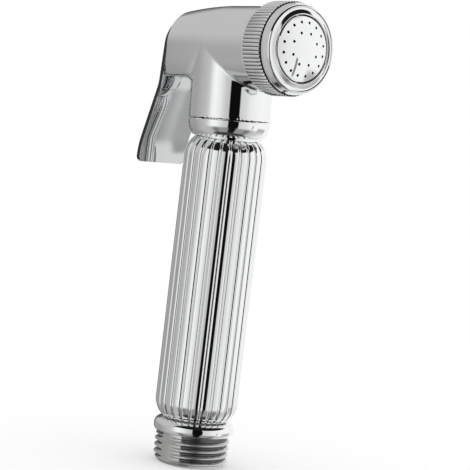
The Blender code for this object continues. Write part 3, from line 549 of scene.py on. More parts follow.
def casting_cage():
    """Even cage round the barrel and the neck, in millimetres on the head's own axes."""
    cage = bmesh.new()
    barrel_place = (Matrix.Translation((0, (BARREL_REAR - BARREL_FRONT) / 2, BARREL_HEIGHT))
                    @ Matrix.Rotation(math.pi / 2, 4, 'X'))
    bmesh.ops.create_cone(cage, cap_ends=True, segments=48, radius1=BARREL_RADIUS, radius2=BARREL_RADIUS,
                          depth=BARREL_FRONT + BARREL_REAR, matrix=barrel_place)
    neck_place = Matrix.Translation((0, 0, (BARREL_HEIGHT + NECK_FOOT) / 2))
    bmesh.ops.create_cone(cage, cap_ends=True, segments=48, radius1=NECK_RADIUS, radius2=NECK_RADIUS,
                          depth=BARREL_HEIGHT - NECK_FOOT, matrix=neck_place)
    head = new_object("head_casting", mesh_from(cage, "head_casting"))
    remesh = head.modifiers.new("Cage", 'REMESH')
    remesh.mode = 'VOXEL'
    remesh.voxel_size = CASTING_VOXEL
    bake(head)
    return head


def make_head():
    """Casting skin from a cage set onto the field, then its spigots, bores and pocket."""
    head = casting_cage()
    seat_on_field(head.data, casting_field)
    head.data.transform(Matrix.Diagonal((MM, MM, MM, 1.0)))
    head.data.transform(head_frame)
    overlap = 1
    spigots = [
        rod("spigot", SCREW_SPIGOT_RADIUS, BARREL_FRONT - overlap, BARREL_FRONT + SCREW_SPIGOT_LENGTH,
            barrel_frame, SMOOTH_ROD_SIDES),
        rod("spigot", SPIGOT_RADIUS, SLEEVE_TOP - HEAD_SPIGOT_LENGTH, WAIST + NECK_FOOT + 2 * overlap,
            handle_frame, SMOOTH_ROD_SIDES),
    ]
    combine(head, spigots, 'UNION')
    cuts = [rod("bore", radius, start, end, barrel_frame) for radius, start, end in VALVE_BORES]
    cuts += [rod("bore", radius, bottom, top, handle_frame) for radius, bottom, top in TUBE_BORES]
    pocket_low = (-POCKET_HALF_WIDTH, pin_local[1] - POCKET_REACH, pin_local[2] - POCKET_REACH)
    pocket_high = (POCKET_HALF_WIDTH, BARREL_REAR + overlap, pin_local[2] + POCKET_REACH)
    cuts.append(block("pocket", pocket_low, pocket_high, head_frame))
    cuts.append(rod("bore", PIN_HOLE_RADIUS, -PIN_HOLE_BLIND_END, PIN_HOLE_OPEN_END, pin_axis_frame, 32))
    combine(head, cuts, 'DIFFERENCE')
    set_materials(head, chrome)
    shade(head, FINE_CREASE)
    # Painted shade in the gap under the neck: on its foot face, and on the spigot down to this depth
    recess_shade_depth = 2.0
    paint_recess_shade(head, head_frame, around(NECK_FOOT, PICK), (0.0, NECK_RADIUS - 0.1), True)
    paint_recess_shade(head, head_frame, (NECK_FOOT - recess_shade_depth, NECK_FOOT), (0.0, SPIGOT_RADIUS + GAP), False)
    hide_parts("head_body")
    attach(head, "handset")


# Neck ring

RING_BORE = 8.5
RING_SKIRT = 2.0
RING_EDGE = 0.1
RING_FOOT_DEPTH = 1.95
RING_ROUND = 4.0
RING_ROUND_STEPS = 14
WASHER_RECESS_RADIUS = 8.95
WASHER_RECESS_DEPTH = 0.7


def make_neck_ring():
    """Turned ring whose foot is cut square to the handle, with a washer recess."""
    top = NECK_FOOT - GAP
    whole_turn = 2 * math.atan(RING_FOOT_DEPTH / RING_ROUND)
    round_radius = RING_ROUND / math.sin(whole_turn)
    outline = [(RING_BORE, -RING_SKIRT), (RING_BORE, top), (NECK_RADIUS - RING_EDGE, top),
               (NECK_RADIUS, top - RING_EDGE)]
    for step in range(RING_ROUND_STEPS + 1):
        turn = whole_turn * step / RING_ROUND_STEPS
        outline.append((NECK_RADIUS - round_radius * (1 - math.cos(turn)),
                        GAP + RING_ROUND - round_radius * math.sin(turn)))
    outline.append((NECK_RADIUS - RING_FOOT_DEPTH, -RING_SKIRT))
    ring = turned("neck_ring_skin", outline, chrome, head_frame, steps=160)
    bm = bmesh.new()
    bm.from_mesh(ring.data)
    cut = bmesh.ops.bisect_plane(bm, geom=bm.verts[:] + bm.edges[:] + bm.faces[:], dist=1e-7,
                                 plane_co=(0, 0, RING_FOOT * MM), plane_no=(0, 0, -1), clear_outer=True)
    rim = [edge for edge in cut["geom_cut"] if isinstance(edge, bmesh.types.BMEdge)]
    bmesh.ops.bridge_loops(bm, edges=rim)
    bmesh.ops.recalc_face_normals(bm, faces=bm.faces)
    bm.to_mesh(ring.data)
    bm.free()
    recess = rod("recess", WASHER_RECESS_RADIUS, WAIST, RING_FOOT + WASHER_RECESS_DEPTH, handle_frame)
    combine(ring, [recess], 'DIFFERENCE')
    set_materials(ring, chrome)
    shade(ring, CREASE)
    # Painted shade on the ring's top face, in the gap under the neck
    paint_recess_shade(ring, head_frame, around(top, PICK), (0.0, NECK_RADIUS - RING_EDGE), True)
    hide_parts("neck_ring")
    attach(ring, "handset")


# Inlet connector with its real thread

THREAD_PITCH = 1.814
THREAD_RADIUS = 10.4775
THREAD_ROOT = 9.62
THREAD_TOP = 8.8
THREAD_FLANK_START = 0.14
THREAD_RUNOUT_START = 1.3
THREAD_RUNOUT_END = 0.9
THREAD_COLUMNS = 288
THREAD_ROWS = 110
END_CHAMFER = 1.5
END_RADIUS = 8.85
FLAT_DISTANCE = 9.5
COLLAR_TOP = 12.5
COLLAR_RADIUS = 11.3
COLLAR_FOOT_RADIUS = 10.63
COLLAR_FOOT_EDGE = 0.05
COLLAR_NECK_RADIUS = 9.3
COLLAR_BULGE = 10.465
FOOT_STEPS = 12
CROWN_STEPS = 16
CONNECTOR_SPIGOT_LENGTH = 9.0
TUBE_GROOVE_TOP = 19.25
TUBE_GROOVE_BOTTOM = 17.75
TUBE_STOP = 15.2
INLET_BORE = 6.5
INLET_EDGE = 0.15
# Radius that parts the thread from the bore, and the part of a valley that gets painted shade
THREAD_INSIDE = 8.0
VALLEY_HEIGHT = 0.28
VALLEY_REACH_FRONT = 8.3


def thread_radius(angle, height):
    """Radius of the thread: rounded crests and roots, run in at the end chamfer."""
    phase = np.mod(height / THREAD_PITCH - angle / (2 * math.pi), 1.0)
    wave = np.abs(2 * phase - 1)
    rise = smooth_blend(wave, THREAD_FLANK_START, 1 - THREAD_FLANK_START)
    full = mix(THREAD_ROOT, THREAD_RADIUS, rise)
    end = mix(END_RADIUS, THREAD_RADIUS, np.clip(height / END_CHAMFER, 0, 1))
    runout = smooth_blend(height, THREAD_TOP - THREAD_RUNOUT_END, THREAD_TOP - THREAD_RUNOUT_START)
    neck = mix(THREAD_ROOT, THREAD_RADIUS + 1, runout)
    return np.minimum(np.minimum(full, end), neck)


def connector_profile():
    """Collar, spigot and stepped bore above the thread, as (radius, height) pairs."""
    foot = THREAD_TOP + COLLAR_FOOT_EDGE
    profile = [(COLLAR_FOOT_RADIUS - 2 * COLLAR_FOOT_EDGE, THREAD_TOP), (COLLAR_FOOT_RADIUS, foot)]
    for step in range(1, FOOT_STEPS + 1):
        turn = math.radians(90 * step / FOOT_STEPS)
        profile.append((mix(COLLAR_FOOT_RADIUS, COLLAR_RADIUS, math.sin(turn)),
                        mix(foot, COLLAR_BULGE, 1 - math.cos(turn))))
    for step in range(1, CROWN_STEPS + 1):
        turn = math.radians(90 * step / CROWN_STEPS)
        profile.append((mix(COLLAR_NECK_RADIUS, COLLAR_RADIUS, math.cos(turn)),
                        mix(COLLAR_BULGE, COLLAR_TOP, math.sin(turn))))
    recess_floor = COLLAR_TOP - WASHER_RECESS_DEPTH
    spigot_top = COLLAR_TOP + CONNECTOR_SPIGOT_LENGTH
    return profile + [
        (WASHER_RECESS_RADIUS, COLLAR_TOP),
        (WASHER_RECESS_RADIUS, recess_floor),
        (SPIGOT_RADIUS, recess_floor),
        (SPIGOT_RADIUS, spigot_top),
        (TUBE_SEAT, spigot_top),
        (TUBE_SEAT, TUBE_GROOVE_TOP),
        (TUBE_GROOVE, TUBE_GROOVE_TOP),
        (TUBE_GROOVE, TUBE_GROOVE_BOTTOM),
        (TUBE_SEAT, TUBE_GROOVE_BOTTOM),
        (TUBE_SEAT, TUBE_STOP),
        (INLET_BORE, TUBE_STOP),
        (INLET_BORE, INLET_EDGE),
        (INLET_BORE + INLET_EDGE, 0.0),
    ]


def colour_thread(connector):
    """Duller metal on the thread, with painted shade in its valleys."""
    set_materials(connector, chrome, chrome_soft, valley_shade_metal)
    for face in connector.data.polygons:
        x, y, z = face.center / MM
        reach = math.hypot(x, y - HANDLE_Y)
        on_thread = reach > THREAD_INSIDE and z < THREAD_TOP - COLLAR_FOOT_EDGE
        face.material_index = 1 if on_thread else 0
        # Painted shade in the thread's valleys
        if on_thread and z > END_CHAMFER / 2 and reach < THREAD_ROOT + VALLEY_HEIGHT:
            if abs(x) < (VALLEY_REACH_FRONT if y < HANDLE_Y else FLAT_DISTANCE - 2 * PICK):
                face.material_index = 2


def make_connector():
    """Thread with its helical turns, cut by two flats, and the collar and spigot above it."""
    angles = 2 * math.pi * np.arange(THREAD_COLUMNS) / THREAD_COLUMNS
    rows = []
    for row in range(THREAD_ROWS + 1):
        height = THREAD_TOP * row / THREAD_ROWS
        rows.append(circle_row(thread_radius(angles, height), angles, height))
    rows += [circle_row(radius, angles, height) for radius, height in connector_profile()]
    connector = ring_skin("inlet_connector_skin", rows, chrome, handle_frame, WIDE_CREASE)
    clear = 30.0
    flats = []
    for side in (-1, 1):
        near, far = sorted((side * FLAT_DISTANCE, side * clear))
        flats.append(block("flat", (near, -clear, -clear), (far, clear, THREAD_TOP - GAP), handle_frame))
    combine(connector, flats, 'DIFFERENCE')
    colour_thread(connector)
    shade(connector, WIDE_CREASE)
    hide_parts("inlet_connector")
    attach(connector, "handset")


# Nozzle nut

NUT_BACK = 16.7
NUT_FRONT = 27.5
NUT_BORE = 10.9
NUT_BAND_RADIUS = 12.5
NUT_FRONT_RADIUS = 12.0
NUT_LIP_RADIUS = 9.25
NUT_LIP_BACK = 25.9
NUT_LIP_ROUND = 0.35
NUT_BAND_EDGE = 0.08
GROOVE_RADIUS = 12.05
GROOVE_WIDTH = 0.4
# Taper of the band towards the rim, as (distance behind the front, drop in radius)
BAND_TAPER_START = (2.6, 0.0)
BAND_TAPER_END = (1.9, 0.12)
RIM_ROUND = 0.75
RIM_CENTRE = (NUT_FRONT_RADIUS - 0.62, NUT_FRONT - 1.02)
# Shallow hollow in the rolled rim, between two radii and with a depth under each
COVE_OUTER = 11.45
COVE_INNER = 9.8
COVE_OUTER_DROP = 0.29
COVE_INNER_DROP = 0.12
COVE_DEPTH = 0.34
COVE_SKEW = 0.55
COVE_STEPS = 16
KNURL_RADIUS = 12.95
KNURL_DEPTH = 0.3
KNURL_BEVEL = 0.3
KNURL_BEVEL_STEPS = 4
KNURL_SHARPNESS = 0.7
KNURL_COUNT = 76
KNURL_CREASE = 38
KNURL_BACK = 17.1
KNURL_FRONT = 24.1
KNURL_EDGE = 0.1
POINTS_PER_RIDGE = 8
# Small step that turns a corner between two turned surfaces
CORNER = 0.02


def nut_profile():
    """Outline from the rear face round to the bore, as (radius, height, share of the knurl)."""
    groove_front = KNURL_FRONT + GROOVE_WIDTH
    profile = [
        (NUT_BORE, NUT_BACK, 0.0),
        (GROOVE_RADIUS, NUT_BACK, 0.0),
        (GROOVE_RADIUS, KNURL_BACK - CORNER, 0.0),
        (KNURL_RADIUS - 0.4, KNURL_BACK, 0.2),
    ]
    for step in range(KNURL_BEVEL_STEPS + 1):
        turn = math.radians(90 * step / KNURL_BEVEL_STEPS)
        profile.append((KNURL_RADIUS - KNURL_BEVEL * (1 - math.sin(turn)),
                        KNURL_BACK + KNURL_BEVEL * (1 - math.cos(turn)), 1.0))
    profile += [
        (KNURL_RADIUS, mix(KNURL_BACK, KNURL_FRONT, 0.5), 1.0),
        (KNURL_RADIUS, KNURL_FRONT - KNURL_EDGE, 1.0),
        (KNURL_RADIUS - KNURL_EDGE, KNURL_FRONT, 1.0),
        (GROOVE_RADIUS, KNURL_FRONT + CORNER, 0.0),
        (GROOVE_RADIUS, groove_front - CORNER, 0.0),
        (NUT_BAND_RADIUS - NUT_BAND_EDGE, groove_front, 0.0),
        (NUT_BAND_RADIUS, groove_front + NUT_BAND_EDGE, 0.0),
    ]
    profile += [(NUT_BAND_RADIUS - drop, NUT_FRONT - behind, 0.0)
                for behind, drop in (BAND_TAPER_START, BAND_TAPER_END)]
    profile += [(radius, height, 0.0) for radius, height in arc(*RIM_CENTRE, RIM_ROUND, 0, 80, 8)]
    for step in range(COVE_STEPS + 1):
        share = step / COVE_STEPS
        hollow = COVE_DEPTH * math.sin(math.pi * share ** COVE_SKEW)
        drop = mix(COVE_OUTER_DROP, COVE_INNER_DROP, share) + hollow
        profile.append((mix(COVE_OUTER, COVE_INNER, share), NUT_FRONT - drop, 0.0))
    profile += [(radius, height, 0.0) for radius, height in
                arc(NUT_LIP_RADIUS + NUT_LIP_ROUND, NUT_FRONT - NUT_LIP_ROUND, NUT_LIP_ROUND, 90, 180, 6)]
    return profile + [(NUT_LIP_RADIUS, NUT_LIP_BACK, 0.0), (NUT_BORE, NUT_LIP_BACK, 0.0)]


def make_nozzle_nut():
    """Ring nut with a rolled rim, and painted shade in its ridge valleys, its groove and its lip."""
    count = KNURL_COUNT * POINTS_PER_RIDGE
    angles = 2 * math.pi * np.arange(count) / count
    wave = 0.5 - 0.5 * np.cos(angles * KNURL_COUNT)
    ridge = KNURL_DEPTH * wave ** KNURL_SHARPNESS
    rows = [circle_row(radius - share * ridge, angles, height) for radius, height, share in nut_profile()]
    nut = ring_skin("nozzle_nut_skin", rows, chrome, barrel_frame, KNURL_CREASE)
    wide = 5 * PICK
    groove_end = KNURL_FRONT + GROOVE_WIDTH - PICK
    groove_walls = (GROOVE_RADIUS - wide, NUT_BAND_RADIUS + 0.2)
    # Painted shade on the lip's inner wall and in the groove
    paint_recess_shade(nut, barrel_frame, (NUT_LIP_BACK - 0.4, NUT_FRONT - 0.5), around(NUT_LIP_RADIUS, wide), False)
    paint_recess_shade(nut, barrel_frame, (KNURL_FRONT - wide, groove_end), groove_walls, True)
    paint_recess_shade(nut, barrel_frame, (KNURL_FRONT, groove_end), around(GROOVE_RADIUS, wide), False)
    # Painted shade in the valleys between the ridges
    nut.data.materials.append(valley_shade_metal)
    valley = len(nut.data.materials) - 1
    back = barrel_frame.inverted()
    for face in nut.data.polygons:
        centre = back @ face.center / MM
        if KNURL_BACK + 0.2 < centre[2] < KNURL_FRONT:
            phase = math.atan2(centre[1], centre[0]) * KNURL_COUNT / (2 * math.pi) % 1.0
            if abs(phase - 0.5) < 1.01 / POINTS_PER_RIDGE:
                face.material_index = valley
    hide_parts("nozzle_nut")
    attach(nut, "nozzle_nut")


# Spray plate

PLATE_DOME_RADIUS = 27.7
PLATE_WALL_RADIUS = NUT_LIP_RADIUS - GAP
PLATE_WALL = 0.9
PLATE_BACK = 24.2
PLATE_RIM = 25.3
PLATE_RIM_DROP = 0.1
PLATE_EDGE = 0.15
PLATE_FLANGE_RADIUS = 10.5
DOME_STEPS = 14
DOME_POLE = 0.02
DOME_ANGLE = math.asin(PLATE_WALL_RADIUS / PLATE_DOME_RADIUS)
DOME_CENTRE = NUT_FRONT - PLATE_RIM_DROP - PLATE_DOME_RADIUS * math.cos(DOME_ANGLE)
HOLE_RADIUS = 0.33
HOLE_REACH = 2.5
HOLE_SIDES = 20
MOUTH_RADIUS = 0.41
MOUTH_DEPTH = 0.4
HOLE_RINGS = ((16, 7.31), (8, 4.53))


def plate_outline():
    """Dome, wall and flange, and the hollow behind them."""
    inner_radius = PLATE_WALL_RADIUS - PLATE_WALL
    inner_dome = PLATE_DOME_RADIUS - PLATE_WALL
    inner_angle = math.asin(inner_radius / inner_dome)
    outline = []
    for step in range(DOME_STEPS + 1):
        turn = max(DOME_ANGLE * step / DOME_STEPS, DOME_POLE / PLATE_DOME_RADIUS)
        outline.append((PLATE_DOME_RADIUS * math.sin(turn), DOME_CENTRE + PLATE_DOME_RADIUS * math.cos(turn)))
    outline[-1] = (PLATE_WALL_RADIUS - PLATE_EDGE, outline[-1][1] + PLATE_EDGE / 3)
    outline += [
        (PLATE_WALL_RADIUS, NUT_FRONT - PLATE_RIM_DROP - PLATE_EDGE),
        (PLATE_WALL_RADIUS, PLATE_RIM),
        (PLATE_FLANGE_RADIUS, PLATE_RIM),
        (PLATE_FLANGE_RADIUS, PLATE_BACK),
        (inner_radius, PLATE_BACK),
    ]
    for step in range(DOME_STEPS, -1, -1):
        turn = max(inner_angle * step / DOME_STEPS, DOME_POLE / inner_dome)
        outline.append((inner_dome * math.sin(turn), DOME_CENTRE + inner_dome * math.cos(turn)))
    return outline


def make_spray_plate():
    """Domed plate with two rings of holes, painted shade inside them, slightly opened at their mouths."""
    plate = turned("spray_plate_skin", plate_outline(), chrome, barrel_frame, steps=120)
    spots = []
    for count, circle in HOLE_RINGS:
        for index in range(count):
            angle = 2 * math.pi * (index + 0.5) / count
            spots.append((circle * math.cos(angle), circle * math.sin(angle), circle))
    holes = bmesh.new()
    mouths = bmesh.new()
    for x, y, circle in spots:
        place = barrel_frame @ Matrix.Translation(Vector((x, y, 0)) * MM)
        surface = DOME_CENTRE + math.sqrt(PLATE_DOME_RADIUS ** 2 - circle ** 2)
        add_rod(holes, HOLE_RADIUS, NUT_FRONT - HOLE_REACH, NUT_FRONT + HOLE_REACH, HOLE_SIDES, place)
        add_rod(mouths, MOUTH_RADIUS, surface - MOUTH_DEPTH, surface + MOUTH_DEPTH, HOLE_SIDES, place)
    tools = [new_object(name, mesh_from(bm, name)) for name, bm in (("holes", holes), ("mouths", mouths))]
    combine(plate, tools, 'DIFFERENCE')
    set_materials(plate, chrome)
    shade(plate, CREASE)
    # Painted shade inside the holes
    plate.data.materials.append(recess_shade)
    back = barrel_frame.inverted()
    for face in plate.data.polygons:
        x, y, z = back @ face.center / MM
        under = PLATE_DOME_RADIUS - math.sqrt(x * x + y * y + (z - DOME_CENTRE) ** 2)
        near_hole = any(math.hypot(x - left, y - up) < MOUTH_RADIUS + 2 * PICK for left, up, _ in spots)
        if under > 2 * PICK and near_hole:
            face.material_index = 1
    # Painted shade on the wall at the plate's edge, next to the nut's lip
    paint_recess_shade(plate, barrel_frame, (PLATE_RIM + 0.05, NUT_FRONT - 0.15), around(PLATE_WALL_RADIUS, 0.05), False)
    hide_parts("spray_plate")
    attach(plate, "spray_plate")


# Lever

LEVER_HALF_WIDTH = 8.4
LEVER_THICKNESS = 1.3
LEVER_CORNER_ROUND = 1.5
LEVER_EDGE_ROUND = 0.3
LEVER_GAP_AT_PIN = 0.3
LEVER_COLUMNS = 16
LEVER_ROW_STEP = 0.6
UPPER_TILT = math.radians(6.4)
LOWER_TILT = math.radians(21.8)
TIP_TILT = math.radians(4.5)
EAR_RADIUS = 1.5
EAR_INNER = 1.7
EAR_THICKNESS = 1.2
EAR_HOLE_RADIUS = 1.1
# Side profile from the top, as runs of (length, tilt at start, tilt at end)
LEVER_RUNS = (
    (18.4, UPPER_TILT, UPPER_TILT),
    (12.0 * (LOWER_TILT - UPPER_TILT), UPPER_TILT, LOWER_TILT),
    (14.6, LOWER_TILT, LOWER_TILT),
    (20.0 * (LOWER_TILT - TIP_TILT), LOWER_TILT, TIP_TILT),
    (1.3, TIP_TILT, TIP_TILT),
)
LEVER_LENGTH = sum(length for length, _, _ in LEVER_RUNS)


def lever_point(distance):
    """Place of the lever's inner face at a distance from its top."""
    top = BARREL_HEIGHT + LEVER_HALF_WIDTH
    back = BARREL_REAR + LEVER_GAP_AT_PIN + (pin_local[2] - top) * math.tan(UPPER_TILT)
    height = top
    left = distance
    for length, start, end in LEVER_RUNS:
        part = min(left, length)
        tilt = mix(start, end, part / length / 2)
        back += part * math.sin(tilt)
        height -= part * math.cos(tilt)
        left -= part
        if left <= 0:
            break
    return back, height


def lever_half_width(distance):
    """Half of the width: a round top and small corner rounds at the tip."""
    from_tip = LEVER_LENGTH - distance
    if distance < LEVER_HALF_WIDTH:
        return math.sqrt(LEVER_HALF_WIDTH ** 2 - (LEVER_HALF_WIDTH - distance) ** 2)
    if from_tip < LEVER_CORNER_ROUND:
        inset = LEVER_CORNER_ROUND - from_tip
        return LEVER_HALF_WIDTH - LEVER_CORNER_ROUND + math.sqrt(LEVER_CORNER_ROUND ** 2 - inset ** 2)
    return LEVER_HALF_WIDTH


def lever_stations():
    """Distances from the top where the plate has a row of points, closer together at its ends."""
    stations = [LEVER_HALF_WIDTH * (1 - math.cos(math.radians(turn))) for turn in range(4, 90, 4)]
    plain = LEVER_HALF_WIDTH
    while plain < LEVER_LENGTH - LEVER_CORNER_ROUND:
        stations.append(plain)
        plain += LEVER_ROW_STEP
    for turn in (0, 15, 30, 45, 60, 75, 88):
        stations.append(LEVER_LENGTH - LEVER_CORNER_ROUND * (1 - math.sin(math.radians(turn))))
    return stations


def make_ear(side):
    """One ear in front of the plate, round about the pin."""
    root = BARREL_REAR - pin_local[1] + LEVER_GAP_AT_PIN + LEVER_THICKNESS / 2
    outline = [(EAR_RADIUS * math.cos(math.radians(turn)), EAR_RADIUS * math.sin(math.radians(turn)))
               for turn in range(90, 271, 10)]
    outline += [(root, -EAR_RADIUS), (root, EAR_RADIUS)]
    near, far = sorted((side * EAR_INNER, side * (EAR_INNER + EAR_THICKNESS)))
    bm = bmesh.new()
    rings = [[bm.verts.new(Vector((x, back, up)) * MM) for back, up in outline] for x in (near, far)]
    for index in range(len(outline)):
        after = (index + 1) % len(outline)
        bm.faces.new((rings[0][index], rings[0][after], rings[1][after], rings[1][index]))
    bm.faces.new(rings[0])
    bm.faces.new(rings[1])
    bmesh.ops.recalc_face_normals(bm, faces=bm.faces)
    mesh = mesh_from(bm, "ear")
    mesh.transform(pin_frame)
    return new_object("ear", mesh)


def edge_on(normal):
    """True on the sheared edge all round the plate, which looks sideways or up."""
    across, back, up = normal
    return abs(across) > 0.75 or (up > 0.6 and abs(back) < 0.35)


def colour_lever(lever):
    """Painted shade on the sheared edge and, in darker chrome, on the face towards the handle."""
    set_materials(lever, chrome, chrome_edge_shade, chrome_shaded_face)
    clear_of_ears = EAR_INNER + EAR_THICKNESS + 0.5
    for face in lever.data.polygons:
        normal = head_frame.to_3x3().inverted() @ face.normal
        if abs(face.center[0] / MM) > clear_of_ears and edge_on(normal):
            face.material_index = 1
        elif normal[1] < -0.4:
            face.material_index = 2


def make_lever():
    """Bent plate with rounded edges, and two ears that the pin goes through."""
    bm = bmesh.new()
    rows = []
    for distance in lever_stations():
        half = lever_half_width(distance)
        back, height = lever_point(distance)
        rows.append([bm.verts.new(Vector((half * (2 * column / LEVER_COLUMNS - 1), back, height)) * MM)
                     for column in range(LEVER_COLUMNS + 1)])
    for upper, lower in zip(rows, rows[1:]):
        for column in range(LEVER_COLUMNS):
            bm.faces.new((upper[column], lower[column], lower[column + 1], upper[column + 1]))
    mesh = mesh_from(bm, "trigger_lever_skin")
    mesh.transform(head_frame)
    lever = new_object("trigger_lever_skin", mesh)
    solidify = lever.modifiers.new("Plate", 'SOLIDIFY')
    solidify.thickness = LEVER_THICKNESS * MM
    solidify.offset = -1.0
    bevel = lever.modifiers.new("Edges", 'BEVEL')
    bevel.width = LEVER_EDGE_ROUND * MM
    bevel.segments = 3
    bevel.limit_method = 'ANGLE'
    bevel.angle_limit = math.radians(50)
    bake(lever)
    combine(lever, [make_ear(side) for side in (-1, 1)], 'UNION')
    combine(lever, [rod("hole", EAR_HOLE_RADIUS, -4, 4, pin_axis_frame, 32)], 'DIFFERENCE')
    colour_lever(lever)
    shade(lever, WIDE_CREASE)
    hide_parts("trigger_lever")
    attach(lever, "lever")


# Looks of the pieces that keep their own solids

def dress_solids():
    """Each solid takes the look of its material slot in the record."""
    looks = {"chrome": chrome, "brass": brass, "steel": steel, "rubber": rubber, "nylon": nylon}
    for subpart in frame["record"]["subparts"]:
        obj = frame["nodes"][subpart["node"]]
        for slot in obj.material_slots:
            slot.material = looks[subpart["material_slot"]]


# Studio

CHROME_TONE = 0.905
FLOOR_RADIUS = 0.36
FLOOR_DROP = 0.00002


def linear(tone):
    """Light of a grey that is written as it shows on a screen."""
    return tone / 12.92 if tone <= 0.04045 else ((tone + 0.055) / 1.055) ** 2.4


def seen_in_chrome(tone):
    """Light of a panel that shows in the chrome as a grey of this tone."""
    return linear(tone) / CHROME_TONE


# Tone that metal sees at the height of the horizon, by degrees to the right of the camera
HORIZON = (
    (-180, 0.30), (-160, 0.36), (-150, 0.60), (-136, 0.60), (-116, 0.59), (-104, 0.62), (-89, 0.67),
    (-76, 0.71), (-66, 0.76), (-59, 0.84), (-50, 0.94), (-44, 0.96), (-30, 0.91), (-20, 0.84), (-12, 0.77),
    (-2, 0.75), (-1, 0.05), (28, 0.05), (29, 0.80), (48, 0.85), (60, 0.91), (80, 0.94), (102, 0.96),
    (180, 0.93),
)
# The same well below the horizon
LOWER = (
    (-180, 0.35), (-160, 0.40), (-150, 0.56), (-120, 0.58), (-100, 0.66), (-80, 0.71), (-60, 0.70),
    (-50, 0.64), (-43, 0.46), (-36, 0.46), (-27, 0.57), (-10, 0.56), (0, 0.49), (3, 0.08), (22, 0.08),
    (26, 0.50), (30, 0.57), (50, 0.57), (60, 0.47), (66, 0.43), (75, 0.64), (90, 0.76), (104, 0.76),
    (125, 0.90), (180, 0.90),
)
ALL_ROUND = (-400, 400, 1)
FRONT_AND_RIGHT = (-66, 128, 12)
# Panels laid over the horizon one after another: (from, to, softness) in degrees to the right of the camera,
# the same in degrees of height, and the light, as a number or a curve of tones
PANELS = (
    ((-158, -62, 14), (6, 200, 32), seen_in_chrome(0.735)),
    ((-200, -62, 14), (23, 200, 22), seen_in_chrome(0.735)),
    ((94, 130, 10), (-100, -11, 7), seen_in_chrome(0.70)),
    (ALL_ROUND, (-100, -26, 16), LOWER),
    ((72.5, 75.5, 1), (-20, -3, 3), linear(0.55)),
    (FRONT_AND_RIGHT, (-100, -58, 8), 0.05),
    (FRONT_AND_RIGHT, (33, 86, 4), 0.012),
)


def math_node(tree, operation, *values):
    node = tree.nodes.new("ShaderNodeMath")
    node.operation = operation
    for socket, value in zip(node.inputs, values):
        if isinstance(value, (int, float)):
            socket.default_value = value
        else:
            link(tree, value, socket)
    return node.outputs[0]


def ramp(tree, value, start, end):
    """Level-ended run from 0 at start to 1 at end."""
    node = tree.nodes.new("ShaderNodeMapRange")
    node.interpolation_type = 'SMOOTHSTEP'
    node.inputs["From Min"].default_value = start
    node.inputs["From Max"].default_value = end
    link(tree, value, node.inputs["Value"])
    return node.outputs["Result"]


def window(tree, value, low, high, soft):
    """1 between low and high, with soft edges."""
    rise = ramp(tree, value, low - soft / 2, low + soft / 2)
    fall = ramp(tree, value, high - soft / 2, high + soft / 2)
    return math_node(tree, 'SUBTRACT', rise, fall)


def shade_toward(tree, base, target, mask):
    """Base light pulled to the target light where the mask is 1."""
    change = math_node(tree, 'SUBTRACT', target, base)
    return math_node(tree, 'ADD', base, math_node(tree, 'MULTIPLY', change, mask))


def tone_curve(tree, value, stops):
    """Light of a value between stops of (value, tone)."""
    low, high = stops[0][0], stops[-1][0]
    spread = tree.nodes.new("ShaderNodeMapRange")
    spread.inputs["From Min"].default_value = low
    spread.inputs["From Max"].default_value = high
    link(tree, value, spread.inputs["Value"])
    ramp_node = tree.nodes.new("ShaderNodeValToRGB")
    elements = ramp_node.color_ramp.elements
    while len(elements) < len(stops):
        elements.new(0.5)
    for element, (place, tone) in zip(elements, stops):
        element.position = (place - low) / (high - low)
        light = seen_in_chrome(tone)
        element.color = (light, light, light, 1.0)
    link(tree, spread.outputs["Result"], ramp_node.inputs["Fac"])
    return ramp_node.outputs["Color"]


def make_world():
    """White all round for the eye and for diffuse light. Metal sees grey and black panels in it."""
    world = bpy.data.worlds.new("Studio")
    bpy.context.scene.world = world
    world.use_nodes = True
    tree = world.node_tree
    background = tree.nodes["Background"]
    place = tree.nodes.new("ShaderNodeTexCoord")
    split = tree.nodes.new("ShaderNodeSeparateXYZ")
    turn = tree.nodes.new("ShaderNodeVectorRotate")
    turn.rotation_type = 'Z_AXIS'
    turn.inputs["Angle"].default_value = -CAMERA_AZIMUTH
    link(tree, place.outputs["Generated"], turn.inputs["Vector"])
    link(tree, turn.outputs["Vector"], split.inputs["Vector"])
    ahead = math_node(tree, 'MULTIPLY', split.outputs["Y"], -1.0)
    bearing = math_node(tree, 'ARCTAN2', split.outputs["X"], ahead)
    rightward = math_node(tree, 'MULTIPLY', bearing, 180 / math.pi)
    height = math_node(tree, 'MULTIPLY', math_node(tree, 'ARCSINE', split.outputs["Z"]), 180 / math.pi)
    light = tone_curve(tree, rightward, HORIZON)
    for across, upward, target in PANELS:
        mask = math_node(tree, 'MULTIPLY', window(tree, rightward, *across), window(tree, height, *upward))
        if isinstance(target, tuple):
            target = tone_curve(tree, rightward, target)
        light = shade_toward(tree, light, target, mask)
    rays = tree.nodes.new("ShaderNodeLightPath")
    seen = math_node(tree, 'MAXIMUM', rays.outputs["Is Glossy Ray"], rays.outputs["Is Transmission Ray"])
    link(tree, shade_toward(tree, 1.0, light, seen), background.inputs["Color"])
    background.inputs["Strength"].default_value = 1.0


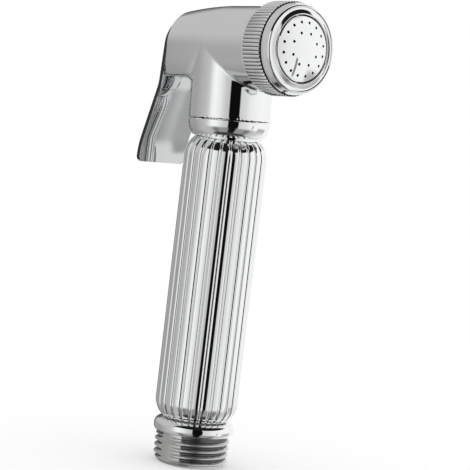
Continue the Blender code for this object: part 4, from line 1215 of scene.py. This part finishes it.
def clear_to_metal(material):
    """Metal sees the studio through the floor, as if its pale surface ran on without an edge."""
    tree = material.node_tree
    rays = tree.nodes.new("ShaderNodeLightPath")
    clear = tree.nodes.new("ShaderNodeBsdfTransparent")
    choice = tree.nodes.new("ShaderNodeMixShader")
    link(tree, rays.outputs["Is Glossy Ray"], choice.inputs["Fac"])
    link(tree, tree.nodes["Principled BSDF"].outputs["BSDF"], choice.inputs[1])
    link(tree, clear.outputs["BSDF"], choice.inputs[2])
    link(tree, choice.outputs["Shader"], tree.nodes["Material Output"].inputs["Surface"])


def make_floor():
    """White disc just under the part, which takes its shadow."""
    bm = bmesh.new()
    bmesh.ops.create_circle(bm, cap_ends=True, segments=128, radius=FLOOR_RADIUS)
    material, _, shader = new_material("Floor_white")
    shader.inputs["Base Color"].default_value = (0.86, 0.86, 0.86, 1.0)
    shader.inputs["Roughness"].default_value = 0.9
    shader.inputs["Specular IOR Level"].default_value = 0.0
    shader.inputs["Emission Color"].default_value = (1, 1, 1, 1)
    shader.inputs["Emission Strength"].default_value = 0.16
    clear_to_metal(material)
    floor = new_object("floor", mesh_from(bm, "floor"), material)
    floor.location.z = -FLOOR_DROP


def make_camera():
    """Camera that looks along its own -Z at the aim, rolled about that line."""
    azimuth, elevation, roll = CAMERA_AZIMUTH, CAMERA_ELEVATION, CAMERA_ROLL
    back = Vector((math.sin(azimuth) * math.cos(elevation), -math.cos(azimuth) * math.cos(elevation),
                   math.sin(elevation)))
    level = Vector((math.cos(azimuth), math.sin(azimuth), 0))
    upright = back.cross(level)
    across = math.cos(roll) * level + math.sin(roll) * upright
    upward = -math.sin(roll) * level + math.cos(roll) * upright
    aim = Vector((CAMERA_AIM[0], CAMERA_AIM[1] + HANDLE_Y, CAMERA_AIM[2]))
    place = (aim + back * CAMERA_DISTANCE) * MM
    data = bpy.data.cameras.new("Camera")
    data.lens = CAMERA_LENS
    data.sensor_width = SENSOR_WIDTH
    data.clip_start = 0.01
    camera = bpy.data.objects.new("Camera", data)
    camera.matrix_world = Matrix((
        (across[0], upward[0], back[0], place[0]),
        (across[1], upward[1], back[1], place[1]),
        (across[2], upward[2], back[2], place[2]),
        (0, 0, 0, 1),
    ))
    bpy.context.scene.collection.objects.link(camera)
    bpy.context.scene.camera = camera


make_camera()
make_world()
make_floor()
dress_solids()
make_sleeve()
make_head()
make_neck_ring()
make_connector()
make_nozzle_nut()
make_spray_plate()
make_lever()

bpy.context.scene.view_settings.view_transform = 'Standard'
